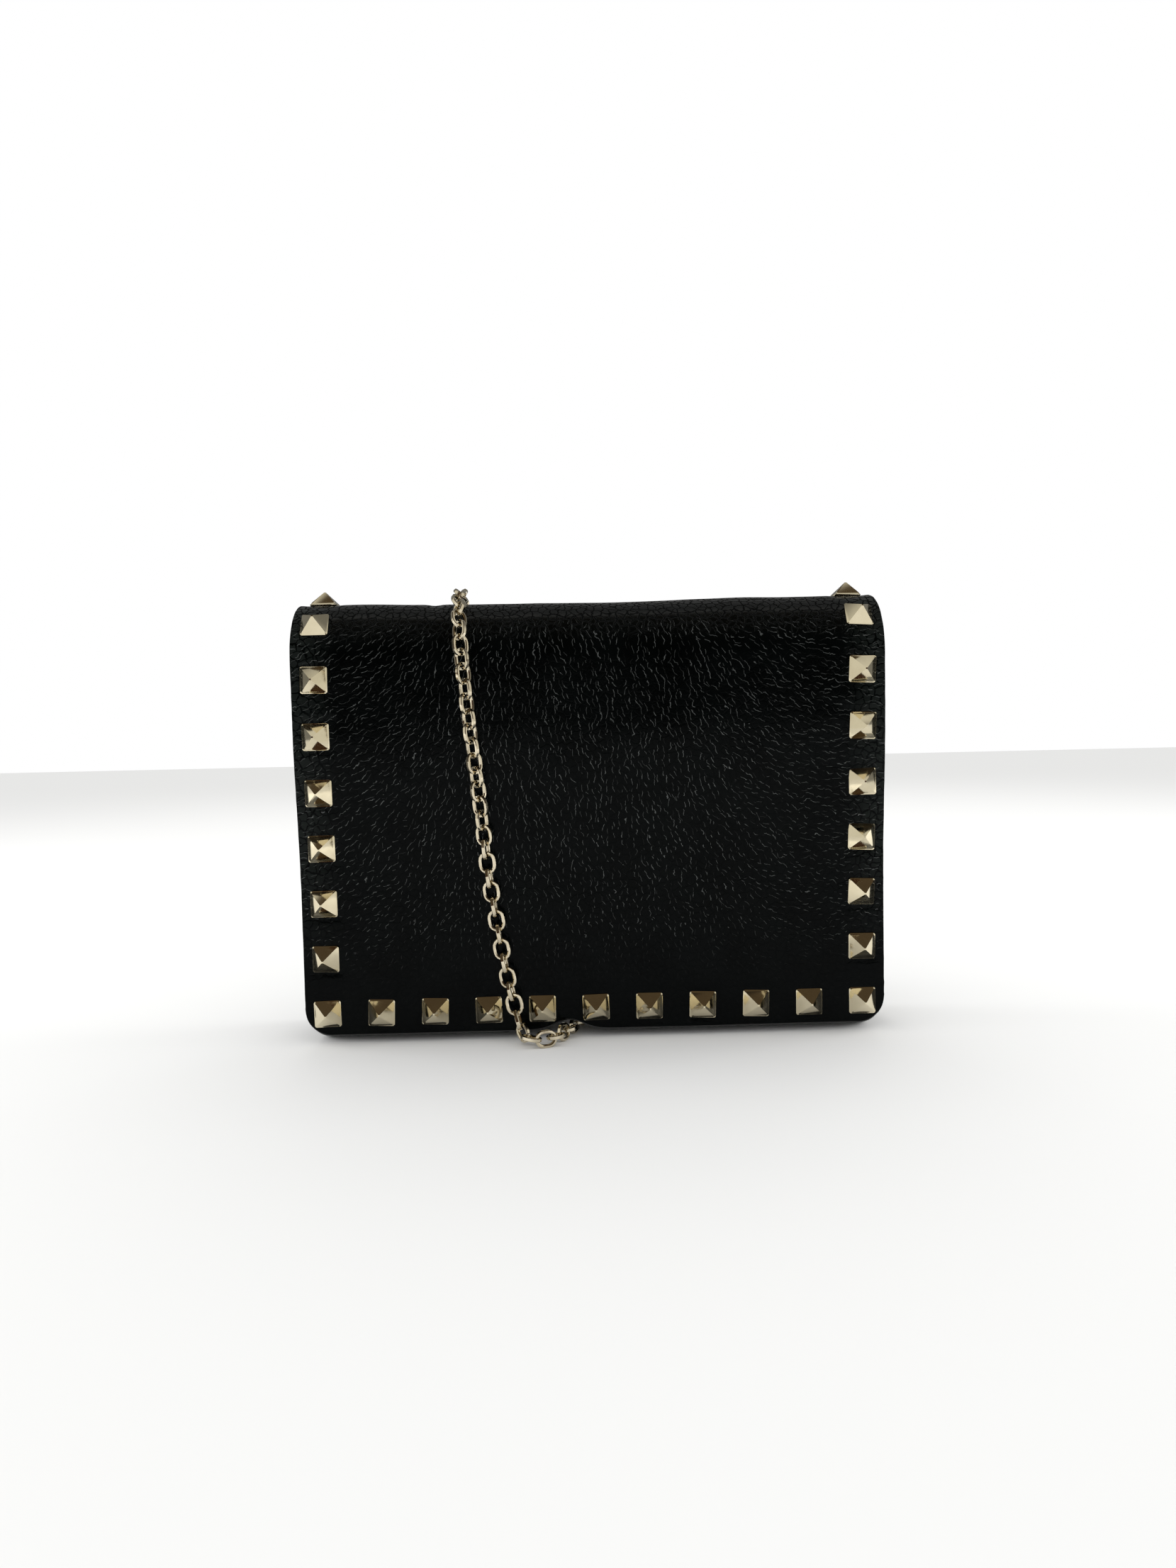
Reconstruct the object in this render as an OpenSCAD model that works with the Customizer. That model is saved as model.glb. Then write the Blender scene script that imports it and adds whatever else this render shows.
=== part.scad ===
// Flap wallet on a chain. Millimetres, +Z up, front towards -Y, origin on the surface it stands on.

/* [Flap] */
// Width of the flap
flap_w = 190; // [170:1:210]
// Height of the crest of the fold above the ground
wallet_h = 144.4; // [140:0.1:150]
// Depth from the front of the flap to the back, at the fold
fold_depth = 35; // [34:0.5:36]
// Radius of the fold where the flap turns down at the front
fold_r = 20; // [18:0.5:21]
// How much further back the flap lies at its foot than at its fold
flap_lean = 3.5; // [2:0.5:4]
// Height of the flap's lower edge above the ground
flap_foot = 3; // [2.5:0.1:3.5]
// Radius of the flap's lower corners
flap_corner_r = 8.5; // [6:0.5:9]

/* [Leather] */
// Width of the body behind the flap
body_w = 184; // [176:1:186]
// Height of the front wall and the gussets
mouth_h = 108; // [104:1:108]
// Thickness of the outer leather
leather_t = 1.2; // [1:0.1:1.2]
// Thickness of the lining
lining_t = 0.8; // [0.6:0.1:0.8]
// Radius of the lower edges of the body
base_r = 6; // [5:0.5:6]

/* [Studs] */
// Side of a stud's square foot
stud_w = 8.6; // [7:0.1:9]
// Height of a stud
stud_h = 4.5; // [4:0.1:4.5]
// Studs along the lower edge
studs_across = 11; // [9:1:11]
// Distance between studs along the lower edge
stud_pitch_x = 17.55; // [17:0.05:17.6]
// Distance between studs up the sides
stud_pitch_z = 18.1; // [17.5:0.1:18.2]
// Height of the lowest row of studs
stud_row_z = 10; // [9.5:0.1:10.5]
// Direction that the studs on the fold face, in degrees above the horizontal
stud_fold_angle = 37; // [34:1:40]

/* [Chain] */
// Outer diameter of the chain
chain_d = 5.6; // [5:0.1:5.6]
// Length of the straight runs of the hank
hank_run = 60; // [50:1:66]
// Radius of the bends at the ends of the hank, at the middle of the chain
hank_r = 13; // [12:0.5:14]
// Layers of chain in the hank
hank_layers = 3; // [2:1:3]

/* [Hidden] */

$fn = 64;
far = 300;
seam = 0.15;

// Side profile, in Y and Z: the face of the flap, the fold at the front and the fold at the back
back_y = (fold_depth + stud_h) / 2;
face_y = back_y - fold_depth;
foot_y = face_y + flap_lean;
crest_y = face_y + fold_r;
back_r = fold_depth - fold_r;
fold_z = wallet_h - fold_r;
back_z = wallet_h - back_r;
lean_from_z = 50;
lean_to_z = 105;

// The flap turns on these two lines of its outer surface, given as angles round the fold
lift_angle = 135;
unfold_angle = 65;

// Layers from the front to the back
flap_t = leather_t + lining_t;
snap_gap = 2;
front_y = foot_y + flap_t + snap_gap;
front_in_y = front_y + leather_t;
mouth_front_y = front_in_y + lining_t;
back_in_y = back_y - leather_t;
mouth_back_y = back_in_y - lining_t;
slot_t = 0.9;
pocket_y = 1.75;
pocket_wall = 1;
pocket_gap = 5.6;
pocket_back_y = pocket_y + pocket_wall + pocket_gap;
pocket_half = 79;
pocket_h = 99;

// The base is a soft leather trough with a stiff board on top
trough_h = 9;
board_t = 1.2;
floor_z = trough_h + board_t;

// The base is pressed up into a low arch where the chain runs under it
arch_x = -4;
arch_h = 7;
arch_half = 15;
arch_r = (arch_half * arch_half + arch_h * arch_h) / (2 * arch_h);
notch_x = -9;
notch_r = 7;
notch_z = -0.5;

// Gussets fold inwards and leave a recess at each side
gusset_t = 1.2;
gusset_y = (mouth_front_y + mouth_back_y) / 2;
gusset_in = 7.4;
gusset_flange = 4.5;
gusset_flat = 10;

// Rings at the tops of the gussets
tab_t = 2;
tab_x = body_w / 2 - gusset_in - gusset_t - tab_t / 2;
tab_low = 12;
ring_z = mouth_h + 4.5;
ring_wire_r = 0.9;
ring_half = 4.1;
ring_reach = 9;
ring_droop = 20;
ring_play = 0.08;
tab_w = 2 * (ring_half - ring_wire_r - 0.3);

// Zip across the middle pocket
zip_z = pocket_h;
zip_y = pocket_y + pocket_wall + pocket_gap / 2;
tape_t = 0.8;
tape_gap = 1.4;
tooth_pitch = 2.5;
tooth_h = 2;
teeth_half = 70;
slider_x = 72;
slider_l = 10;
slider_w = 4.4;
slider_plate = 0.9;
slider_room = 0.35;
bail_r = 0.7;
pull_l = 20;
pull_w = 4.4;
pull_t = 1.2;

// Snap under the flap
snap_z = 38;
snap_r = 9;
snap_post_r = 2.5;
snap_bore_r = 3.2;
snap_barrel_r = 5.5;

// Studs
stud_lip = 0.5;
stud_tip = 0.5;
stud_column_x = (studs_across - 1) / 2 * stud_pitch_x;
stud_rows = 6;
stud_top_angle = 92;
prong_w = 1.6;
prong_t = 0.4;
prong_l = 1;

// The chain's way: from the left ring round behind, over the fold, down the front and under the base
chain_back_way = [[-92.6, 7, 107.6], [-95.8, 9.5, 100], [-98.2, 14, 91.5], [-97.6, 19, 83.5],
    [-94.2, 22.6, 75], [-90, 23.1, 62], [-87, 23, 55], [-83, 23, 48.5], [-78, 23, 44.5], [-73, 23, 43],
    [-68, 23, 44.5], [-63, 23, 48.5], [-58.5, 23, 56], [-54.5, 23, 66], [-51, 23, 79], [-48, 23, 94]];
chain_over_way = [[-47.9, 23, 94.6], [-45.5, 23.1, 110], [-44.5, 23.2, 120], [-43.8, 23.3, 130],
    [-43.5, 22.2, 135.5], [-43.2, 19.7, 140.5], [-43, 15.6, 144.5], [-42.5, 10.5, 147],
    [-42.1, 7.5, 147.8], [-42, 5.6, 147.9]];
chain_drape_way = [[-42, 5, 147.9], [-41.9, 2.5, 147.8], [-41.9, -1.3, 147.1], [-41.7, -7, 144.8],
    [-41.4, -11.8, 141.1], [-41, -15.5, 136.2], [-40.7, -17.9, 130.5], [-40.2, -18.7, 124],
    [-39.4, -18.7, 115], [-38.5, -18.7, 105], [-37.2, -18.3, 92], [-36, -17.3, 80], [-34.8, -16.1, 68],
    [-33.8, -15.4, 56], [-32.2, -15.1, 44], [-30.4, -15.1, 32], [-28.4, -15.1, 21], [-26.6, -15.2, 13],
    [-25.9, -15.4, 9.6], [-25.5, -15.8, 7.9]];
chain_floor_way = [[-25.2, -16.1, 7.1], [-24.8, -16.6, 5.7], [-24, -17.6, 4.2], [-22.5, -19.8, 3.1],
    [-19.5, -21.8, 2.8], [-16, -21.5, 2.8], [-13, -18.5, 2.8], [-10.6, -14, 2.8], [-8.2, -8.5, 2.8],
    [-5.8, -2, 2.8], [-3.8, 6, 2.8], [-2.4, 14, 2.8], [-1.4, 22, 2.8], [-1, 29, 2.8], [-1, 34, 2.8]];
chain_rise_way = [[72, 51, 14], [77, 51.1, 14], [82, 51, 13.6], [86, 50.2, 11], [89.4, 48, 7],
    [92.2, 44, 4], [94.2, 38.5, 2.9], [95.3, 32, 2.8], [95.6, 25, 2.8], [95.6, 18, 2.8], [95.6, 11, 4],
    [95.6, 7.4, 7.8], [95.6, 6.4, 14], [95.6, 6.2, 30], [95.6, 6.2, 48], [95.6, 6.2, 66],
    [95.5, 6.2, 82], [94.9, 6.2, 94], [93.6, 6.2, 102], [92.7, 6.2, 107.6]];
hank_x = 12;
hank_y = 38;
tie_x = 42;
tie_w = 6;
tie_t = 0.5;
chain_sides = 8;

// A number from 0 to 1 that starts and ends gently
function eased(t) = let (u = min(1, max(0, t))) u * u * (3 - 2 * u);
function eased_slope(t) = (t <= 0 || t >= 1) ? 0 : 6 * t * (1 - t);
function unit(v) = v / norm(v);

// The face of the flap at height z, and its slope
function face_at(z) = foot_y - flap_lean * eased((z - lean_from_z) / (lean_to_z - lean_from_z));
function face_slope(z) =
    -flap_lean * eased_slope((z - lean_from_z) / (lean_to_z - lean_from_z)) / (lean_to_z - lean_from_z);

// A point of the flap's face or fold, depth d under the outer surface
function face_point(z, d) = let (n = unit([-1, face_slope(z)])) [face_at(z), z] - d * n;
function fold_point(a, d) = a <= 90
    ? [crest_y - (fold_r - d) * cos(a), fold_z + (fold_r - d) * sin(a)]
    : [crest_y - (back_r - d) * cos(a), back_z + (back_r - d) * sin(a)];

function face_side(z0, z1, d) = [for (i = [0 : 24]) face_point(z0 + (z1 - z0) * i / 24, d)];
function fold_side(a0, a1, d) = [for (i = [0 : 18]) fold_point(a0 + (a1 - a0) * i / 18, d)];
function backwards(list) = [for (i = [len(list) - 1 : -1 : 0]) list[i]];
function layer(outer, inner) = concat(outer, backwards(inner));

// The angle that a seam of the given width takes at depth d of the fold
function seam_angle(r) = seam / r * 180 / PI;

// Draws a profile in Y and Z as a slab of width w along X
module slab(w) {
    rotate([90, 0, 90])
        translate([0, 0, -w / 2])
            linear_extrude(w)
                children();
}

// Draws an outline in X and Z as a prism along Y
module front_prism() {
    translate([0, far / 2, 0])
        rotate([90, 0, 0])
            linear_extrude(far)
                children();
}

module box(x, y, z) {
    translate([x[0], y[0], z[0]])
        cube([x[1] - x[0], y[1] - y[0], z[1] - z[0]]);
}

module mirrored(side) {
    mirror([side > 0 ? 0 : 1, 0, 0])
        children();
}

// The plan of the flap and the back: the flap is wider than the body and narrows over the fold
module plan_outline() {
    linear_extrude(far)
        polygon([[-flap_w / 2, -far], [flap_w / 2, -far], [flap_w / 2, crest_y],
            [body_w / 2, back_y - 1], [body_w / 2, far], [-body_w / 2, far],
            [-body_w / 2, back_y - 1], [-flap_w / 2, crest_y]]);
}

// The front of the flap seen from the front, with round lower corners and a lift over the chain
module flap_outline() {
    difference() {
        union() {
            translate([-flap_w / 2, flap_foot + flap_corner_r])
                square([flap_w, far]);
            translate([-flap_w / 2 + flap_corner_r, flap_foot])
                square([flap_w - 2 * flap_corner_r, far]);
            for (side = [-1, 1])
                translate([side * (flap_w / 2 - flap_corner_r), flap_foot + flap_corner_r])
                    circle(flap_corner_r);
        }
        translate([notch_x, notch_z])
            circle(notch_r);
    }
}

module flap_front_layer(d0, d1) {
    a = unfold_angle - seam_angle(fold_r);
    intersection() {
        slab(flap_w)
            polygon(layer(
                concat(face_side(flap_foot, fold_z, d0), fold_side(1, a, d0)),
                concat(face_side(flap_foot, fold_z, d1), fold_side(1, a, d1))));
        front_prism()
            flap_outline();
    }
}

module flap_top_layer(d0, d1) {
    a0 = unfold_angle + seam_angle(fold_r);
    a1 = lift_angle - seam_angle(back_r);
    intersection() {
        slab(flap_w)
            polygon(layer(
                concat(fold_side(a0, 90, d0), fold_side(91, a1, d0)),
                concat(fold_side(a0, 90, d1), fold_side(91, a1, d1))));
        plan_outline();
    }
}

module back_layer(d0, d1, z0) {
    a = lift_angle + seam_angle(back_r);
    intersection() {
        slab(body_w + 6)
            polygon(layer(
                concat([[back_y - d0, z0]], fold_side(180, a, d0)),
                concat([[back_y - d1, z0]], fold_side(180, a, d1))));
        plan_outline();
    }
}

module snap_hole(r) {
    translate([0, 0, snap_z])
        rotate([90, 0, 0])
            cylinder(h = far, r = r, center = true);
}

module flap_front_leather() {
    color("#15181a")
        flap_front_layer(0, leather_t);
}

module flap_front_lining() {
    color("#2a2624")
        difference() {
            flap_front_layer(leather_t, flap_t);
            snap_hole(snap_r - 1);
        }
}

module flap_top_leather() {
    color("#15181a")
        flap_top_layer(0, leather_t);
}

module flap_top_lining() {
    color("#2a2624")
        flap_top_layer(leather_t, flap_t);
}

module back_panel() {
    color("#17191b")
        back_layer(0, leather_t, trough_h);
}

module back_lining() {
    color("#2a2624")
        back_layer(leather_t, flap_t, floor_z);
}

module front_panel() {
    color("#17191b")
        difference() {
            box([-body_w / 2, body_w / 2], [front_y, front_in_y], [trough_h, mouth_h]);
            snap_hole(snap_barrel_r);
        }
}

module front_lining() {
    color("#2a2624")
        difference() {
            box([-body_w / 2, body_w / 2], [front_in_y, mouth_front_y], [floor_z, mouth_h]);
            snap_hole(snap_barrel_r);
        }
}

module slip_pocket() {
    color("#201d1c")
        box([-pocket_half, pocket_half], [mouth_front_y, mouth_front_y + slot_t], [48, 92]);
}

// Side outline of the leather trough under the board
module trough_outline(inset) {
    r = base_r - inset;
    y0 = front_y + inset;
    y1 = back_y - inset;
    translate([y0, base_r])
        square([y1 - y0, trough_h - base_r]);
    translate([y0 + r, inset])
        square([y1 - y0 - 2 * r, trough_h - inset]);
    intersection() {
        for (y = [y0 + r, y1 - r])
            translate([y, base_r])
                circle(r);
        translate([y0, inset])
            square([y1 - y0, trough_h - inset]);
    }
}

module arch(r) {
    translate([arch_x, 0, arch_h - arch_r])
        rotate([90, 0, 0])
            cylinder(h = far, r = r, center = true, $fn = 160);
}

module base_panel() {
    color("#17191b")
        difference() {
            union() {
                difference() {
                    slab(body_w)
                        trough_outline(0);
                    slab(body_w - 2 * leather_t)
                        translate([0, 0.01])
                            trough_outline(leather_t);
                }
                intersection() {
                    slab(body_w)
                        trough_outline(0);
                    arch(arch_r + leather_t);
                }
            }
            arch(arch_r);
        }
}

module base_board() {
    color("#1c1a19")
        box([-body_w / 2 + leather_t, body_w / 2 - leather_t], [front_in_y, back_in_y],
            [trough_h, floor_z]);
}

// Plan of the right gusset: flange, slant, flat middle, slant, flange
module gusset_plan() {
    x0 = body_w / 2;
    x1 = x0 - gusset_flange;
    x2 = x0 - gusset_in;
    y0 = mouth_front_y;
    y1 = mouth_back_y;
    ya = gusset_y - gusset_flat / 2;
    yb = gusset_y + gusset_flat / 2;
    t = gusset_t;
    polygon([[x0, y0], [x0, y0 + t], [x1, y0 + t], [x2, ya], [x2, yb], [x1, y1 - t], [x0, y1 - t],
        [x0, y1], [x1 - 0.6 * t, y1], [x2 - t, yb + 0.25 * t], [x2 - t, ya - 0.25 * t],
        [x1 - 0.6 * t, y0]]);
}

module gusset(side) {
    color("#17191b")
        mirrored(side)
            translate([0, 0, floor_z])
                linear_extrude(mouth_h - floor_z)
                    gusset_plan();
}

module gusset_left() {
    gusset(-1);
}

module gusset_right() {
    gusset(1);
}

module card_slot(index, z0, z1) {
    color("#201d1c")
        box([-pocket_half, pocket_half],
            [mouth_back_y - (index + 1) * slot_t, mouth_back_y - index * slot_t], [z0, z1]);
}

module card_slot_upper() {
    card_slot(0, 34, 98);
}

module card_slot_middle() {
    card_slot(1, 24, 87);
}

module card_slot_lower() {
    card_slot(2, 14, 76);
}

module zip_pocket_front() {
    color("#2a2624")
        box([-pocket_half, pocket_half], [pocket_y, pocket_y + pocket_wall], [floor_z, pocket_h]);
}

module zip_pocket_back() {
    color("#2a2624")
        box([-pocket_half, pocket_half], [pocket_back_y, pocket_back_y + pocket_wall],
            [floor_z, pocket_h]);
}

// The two walls of the pocket are joined round three sides
module zip_pocket_seam() {
    y = [pocket_y + pocket_wall, pocket_back_y];
    color("#2a2624")
        union() {
            box([-pocket_half, pocket_half], y, [floor_z, floor_z + pocket_wall]);
            for (side = [-1, 1])
                mirrored(side)
                    box([pocket_half - pocket_wall, pocket_half], y, [floor_z, pocket_h - tape_t]);
        }
}

module zip_tape(side) {
    reach = (pocket_gap - tape_gap) / 2;
    y = side < 0 ? pocket_y + pocket_wall : pocket_back_y - reach;
    color("#1b1b1d")
        box([-pocket_half + pocket_wall, pocket_half - pocket_wall], [y, y + reach],
            [zip_z - tape_t, zip_z]);
}

module zip_tape_front() {
    zip_tape(-1);
}

module zip_tape_back() {
    zip_tape(1);
}

// Teeth of the closed zip, taken in turn from the two tapes
module zip_teeth() {
    count = floor(2 * teeth_half / tooth_pitch);
    color("#b9ac8c")
        for (i = [0 : count - 1]) {
            x = -teeth_half + i * tooth_pitch;
            box([x, x + tooth_pitch - 0.5], [zip_y - tape_gap / 2, zip_y + tape_gap / 2],
                [zip_z - tape_t / 2 - tooth_h / 2, zip_z - tape_t / 2 + tooth_h / 2]);
        }
}

module zip_stops() {
    color("#b9ac8c")
        for (x = [-teeth_half - 2.5, slider_x + 4])
            box([x, x + 1.4], [zip_y - tape_gap / 2, zip_y + tape_gap / 2],
                [zip_z - tape_t / 2 - tooth_h / 2, zip_z - tape_t / 2 + tooth_h / 2]);
}

// Two plates joined by a post ahead of the teeth, with a bail for the pull on top
module zip_slider() {
    plate_low = zip_z - tape_t / 2 + tooth_h / 2 + slider_room;
    plate_top = plate_low + slider_plate;
    under_top = zip_z - tape_t / 2 - tooth_h / 2 - slider_room;
    under_low = under_top - slider_plate;
    x = [slider_x - slider_l / 2, slider_x + slider_l / 2 - 1.4];
    y = [zip_y - slider_w / 2, zip_y + slider_w / 2];
    color("#c8bc9c")
        union() {
            box(x, y, [plate_low, plate_top]);
            box(x, y, [under_low, under_top]);
            box([slider_x + 1.6, slider_x + 3], [zip_y - 0.5, zip_y + 0.5], [under_top, plate_low]);
            for (side = [-1, 1])
                box([slider_x - 1, slider_x + 1],
                    [zip_y + side * 1.8 - 0.4, zip_y + side * 1.8 + 0.4],
                    [plate_top, pull_z() + bail_r]);
            translate([slider_x, zip_y - 2, pull_z()])
                rotate([-90, 0, 0])
                    cylinder(h = 4, r = bail_r);
        }
}

function pull_z() = zip_z - tape_t / 2 + tooth_h / 2 + slider_room + slider_plate + 2;

module zip_pull() {
    eye_r = 1.7;
    eye_w = 2.4;
    z = pull_z();
    color("#c8bc9c")
        difference() {
            union() {
                translate([slider_x, zip_y - eye_w / 2, z])
                    rotate([-90, 0, 0])
                        cylinder(h = eye_w, r = eye_r);
                box([slider_x - 5, slider_x - 1], [zip_y - eye_w / 2, zip_y + eye_w / 2],
                    [z - pull_t / 2, z + pull_t / 2]);
                box([slider_x - pull_l, slider_x - 5], [zip_y - pull_w / 2, zip_y + pull_w / 2],
                    [z - pull_t / 2, z + pull_t / 2]);
            }
            translate([slider_x, zip_y - far / 2, z])
                rotate([-90, 0, 0])
                    cylinder(h = far, r = bail_r + ring_play);
            translate([slider_x - pull_l + 3.2, zip_y, z])
                cylinder(h = 4 * pull_t, r = 1.1, center = true);
        }
}

// A strip of leather folded round the ring's bar and sewn down inside the gusset
module ring_tab(side) {
    color("#17191b")
        mirrored(side)
            difference() {
                union() {
                    translate([tab_x, gusset_y - tab_w / 2, ring_z])
                        rotate([-90, 0, 0])
                            cylinder(h = tab_w, r = tab_t);
                    box([tab_x - tab_t / 2, tab_x + tab_t / 2],
                        [gusset_y - tab_w / 2, gusset_y + tab_w / 2], [mouth_h - tab_low, ring_z]);
                }
                translate([tab_x, gusset_y - far / 2, ring_z])
                    rotate([-90, 0, 0])
                        cylinder(h = far, r = ring_wire_r + ring_play);
            }
}

module ring_tab_left() {
    ring_tab(-1);
}

module ring_tab_right() {
    ring_tab(1);
}

// A straight bar closed by a round bow, leaning out over the gusset's edge
module d_ring(side) {
    straight = ring_reach - ring_half;
    color("#c9bd9e")
        mirrored(side)
            translate([tab_x, gusset_y, ring_z])
                rotate([0, ring_droop, 0]) {
                    translate([0, -ring_half, 0])
                        rotate([-90, 0, 0])
                            cylinder(h = 2 * ring_half, r = ring_wire_r);
                    for (y = [-ring_half, ring_half])
                        translate([0, y, 0]) {
                            sphere(ring_wire_r);
                            rotate([0, 90, 0])
                                cylinder(h = straight, r = ring_wire_r);
                        }
                    translate([straight, 0, 0])
                        rotate([0, 0, -90])
                            rotate_extrude(angle = 180)
                                translate([ring_half, 0])
                                    circle(ring_wire_r, $fn = 24);
                }
}

module d_ring_left() {
    d_ring(-1);
}

module d_ring_right() {
    d_ring(1);
}

// A cup in the front wall that holds a ring magnet
module snap_socket() {
    flange = 0.8;
    depth = leather_t + lining_t;
    color("#c9bd9e")
        translate([0, front_y, snap_z])
            rotate([-90, 0, 0])
                difference() {
                    union() {
                        translate([0, 0, -flange])
                            cylinder(h = flange, r = snap_r);
                        cylinder(h = depth, r = snap_barrel_r);
                    }
                    translate([0, 0, -flange - 1])
                        cylinder(h = 1 + flange + depth - 0.4, r = snap_bore_r);
                    translate([0, 0, 0])
                        difference() {
                            cylinder(h = depth - 0.4, r = snap_barrel_r - 0.3);
                            cylinder(h = depth, r = snap_bore_r + 0.3);
                        }
                }
}

module snap_magnet() {
    depth = leather_t + lining_t - 0.4;
    color("#3a3a3c")
        translate([0, front_y, snap_z])
            rotate([-90, 0, 0])
                difference() {
                    cylinder(h = depth, r = snap_barrel_r - 0.3);
                    cylinder(h = 3 * depth, r = snap_bore_r + 0.3, center = true);
                }
}

module snap_post() {
    leather_y = foot_y + leather_t;
    proud = 0.5;
    color("#c9bd9e")
        translate([0, leather_y, snap_z])
            rotate([-90, 0, 0])
                union() {
                    cylinder(h = lining_t + proud, r = snap_r - 1);
                    cylinder(h = lining_t + snap_gap - 0.1, r = snap_post_r);
                }
}

// A pyramid on a thin square lip, with two prongs that go through the leather
module stud() {
    translate([-stud_w / 2, -stud_w / 2, 0])
        cube([stud_w, stud_w, stud_lip]);
    translate([0, 0, stud_lip])
        rotate([0, 0, 45])
            cylinder(h = stud_h - stud_lip, r1 = stud_w / sqrt(2), r2 = stud_tip / sqrt(2), $fn = 4);
    for (side = [-1, 1])
        translate([side * (stud_w / 2 - 1) - prong_w / 2, -prong_t / 2, -prong_l])
            cube([prong_w, prong_t, prong_l]);
}

// Puts a stud on the flat of the flap at x and z, or on the fold at x and angle a
module stud_on_face(x, z) {
    translate([x, face_at(z), z])
        rotate([90 - atan(face_slope(z)), 0, 0])
            stud();
}

module stud_on_fold(x, a) {
    p = fold_point(a, 0);
    translate([x, p[0], p[1]])
        rotate([90 - a, 0, 0])
            stud();
}

module studs_front() {
    color("#cfc4a6")
        union() {
            for (i = [0 : studs_across - 1])
                stud_on_face(-stud_column_x + i * stud_pitch_x, stud_row_z);
            for (side = [-1, 1], row = [1 : stud_rows])
                stud_on_face(side * stud_column_x, stud_row_z + row * stud_pitch_z);
            for (side = [-1, 1])
                stud_on_fold(side * stud_column_x, stud_fold_angle);
        }
}

module studs_top() {
    color("#cfc4a6")
        for (side = [-1, 1])
            stud_on_fold(side * stud_column_x, stud_top_angle);
}

// Direction of a way at its point i, and a side vector carried along it without twist
function heading(way, i) = unit(way[min(i + 1, len(way) - 1)] - way[max(i - 1, 0)]);
function carried(way, i, n) =
    let (t = heading(way, i), m = unit(n - (n * t) * t))
    i == len(way) - 1 ? [m] : concat([m], carried(way, i + 1, m));

// A round tube swept along a way
module tube(way, d) {
    k = chain_sides;
    sides = carried(way, 0, [1, 0.2, 0.1]);
    points = [for (i = [0 : len(way) - 1])
        let (n = sides[i], b = cross(heading(way, i), n))
        for (j = [0 : k - 1]) way[i] + d / 2 * (cos(360 * j / k) * n + sin(360 * j / k) * b)];
    walls = [for (i = [0 : len(way) - 2], j = [0 : k - 1])
        [i * k + j, (i + 1) * k + j, (i + 1) * k + (j + 1) % k, i * k + (j + 1) % k]];
    first = [for (j = [0 : k - 1]) j];
    last = [for (j = [k - 1 : -1 : 0]) (len(way) - 1) * k + j];
    polyhedron(points, concat(walls, [first, last]));
}

module chain(way) {
    color("#d0c5a8")
        tube(way, chain_d);
}

module chain_back() {
    chain(chain_back_way);
}

module chain_over() {
    chain(chain_over_way);
}

module chain_drape() {
    chain(chain_drape_way);
}

module chain_floor() {
    chain(chain_floor_way);
}

module chain_rise() {
    chain(chain_rise_way);
}

// Outline of the hank, seen from above, at distance r from the line through its two bends
module hank_outline(r) {
    for (x = [0, hank_run])
        translate([x, 0])
            circle(r);
    translate([0, -r])
        square([hank_run, 2 * r]);
}

module chain_hank() {
    color("#d0c5a8")
        translate([hank_x, hank_y, tie_t])
            linear_extrude(hank_layers * chain_d)
                difference() {
                    hank_outline(hank_r + chain_d / 2);
                    hank_outline(hank_r - chain_d / 2);
                }
}

// A band of ribbon round both runs of the hank
module chain_tie() {
    half = hank_r + chain_d / 2;
    top = tie_t + hank_layers * chain_d;
    color("#1d1c1e")
        difference() {
            box([tie_x - tie_w / 2, tie_x + tie_w / 2],
                [hank_y - half - tie_t, hank_y + half + tie_t], [0, top + tie_t]);
            box([tie_x - far, tie_x + far], [hank_y - half, hank_y + half], [tie_t, top]);
        }
}

back_panel();
back_lining();
front_panel();
front_lining();
slip_pocket();
base_panel();
base_board();
gusset_left();
gusset_right();
card_slot_upper();
card_slot_middle();
card_slot_lower();
zip_pocket_front();
zip_pocket_back();
zip_pocket_seam();
zip_tape_front();
zip_tape_back();
zip_teeth();
zip_stops();
zip_slider();
zip_pull();
ring_tab_left();
ring_tab_right();
d_ring_left();
d_ring_right();
snap_socket();
snap_magnet();
snap_post();
flap_top_leather();
flap_top_lining();
flap_front_leather();
flap_front_lining();
studs_top();
studs_front();
chain_back();
chain_over();
chain_drape();
chain_floor();
chain_hank();
chain_tie();
chain_rise();
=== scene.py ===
import math
import random

import bmesh
import bpy
import numpy as np
from mathutils import Matrix, Vector, noise


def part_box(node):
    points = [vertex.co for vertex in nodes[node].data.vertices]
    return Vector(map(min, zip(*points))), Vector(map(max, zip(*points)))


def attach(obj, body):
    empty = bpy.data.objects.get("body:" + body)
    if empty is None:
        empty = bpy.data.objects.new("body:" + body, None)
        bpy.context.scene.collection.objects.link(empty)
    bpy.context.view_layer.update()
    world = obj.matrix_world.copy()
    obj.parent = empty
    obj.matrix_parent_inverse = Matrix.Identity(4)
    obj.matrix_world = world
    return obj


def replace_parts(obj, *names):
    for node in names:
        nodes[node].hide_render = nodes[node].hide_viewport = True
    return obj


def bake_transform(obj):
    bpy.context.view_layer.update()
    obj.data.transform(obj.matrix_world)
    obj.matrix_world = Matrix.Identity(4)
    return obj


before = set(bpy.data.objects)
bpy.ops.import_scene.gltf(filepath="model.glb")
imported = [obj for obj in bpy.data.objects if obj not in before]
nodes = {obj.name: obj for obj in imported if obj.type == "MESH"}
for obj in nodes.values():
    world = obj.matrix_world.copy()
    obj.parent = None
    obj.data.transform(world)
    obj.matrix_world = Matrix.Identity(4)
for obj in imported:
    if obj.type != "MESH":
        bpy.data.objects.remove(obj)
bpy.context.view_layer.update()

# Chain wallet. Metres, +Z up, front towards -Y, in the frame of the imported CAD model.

MM = 0.001
SEED = 7
collection = bpy.context.scene.collection

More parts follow.
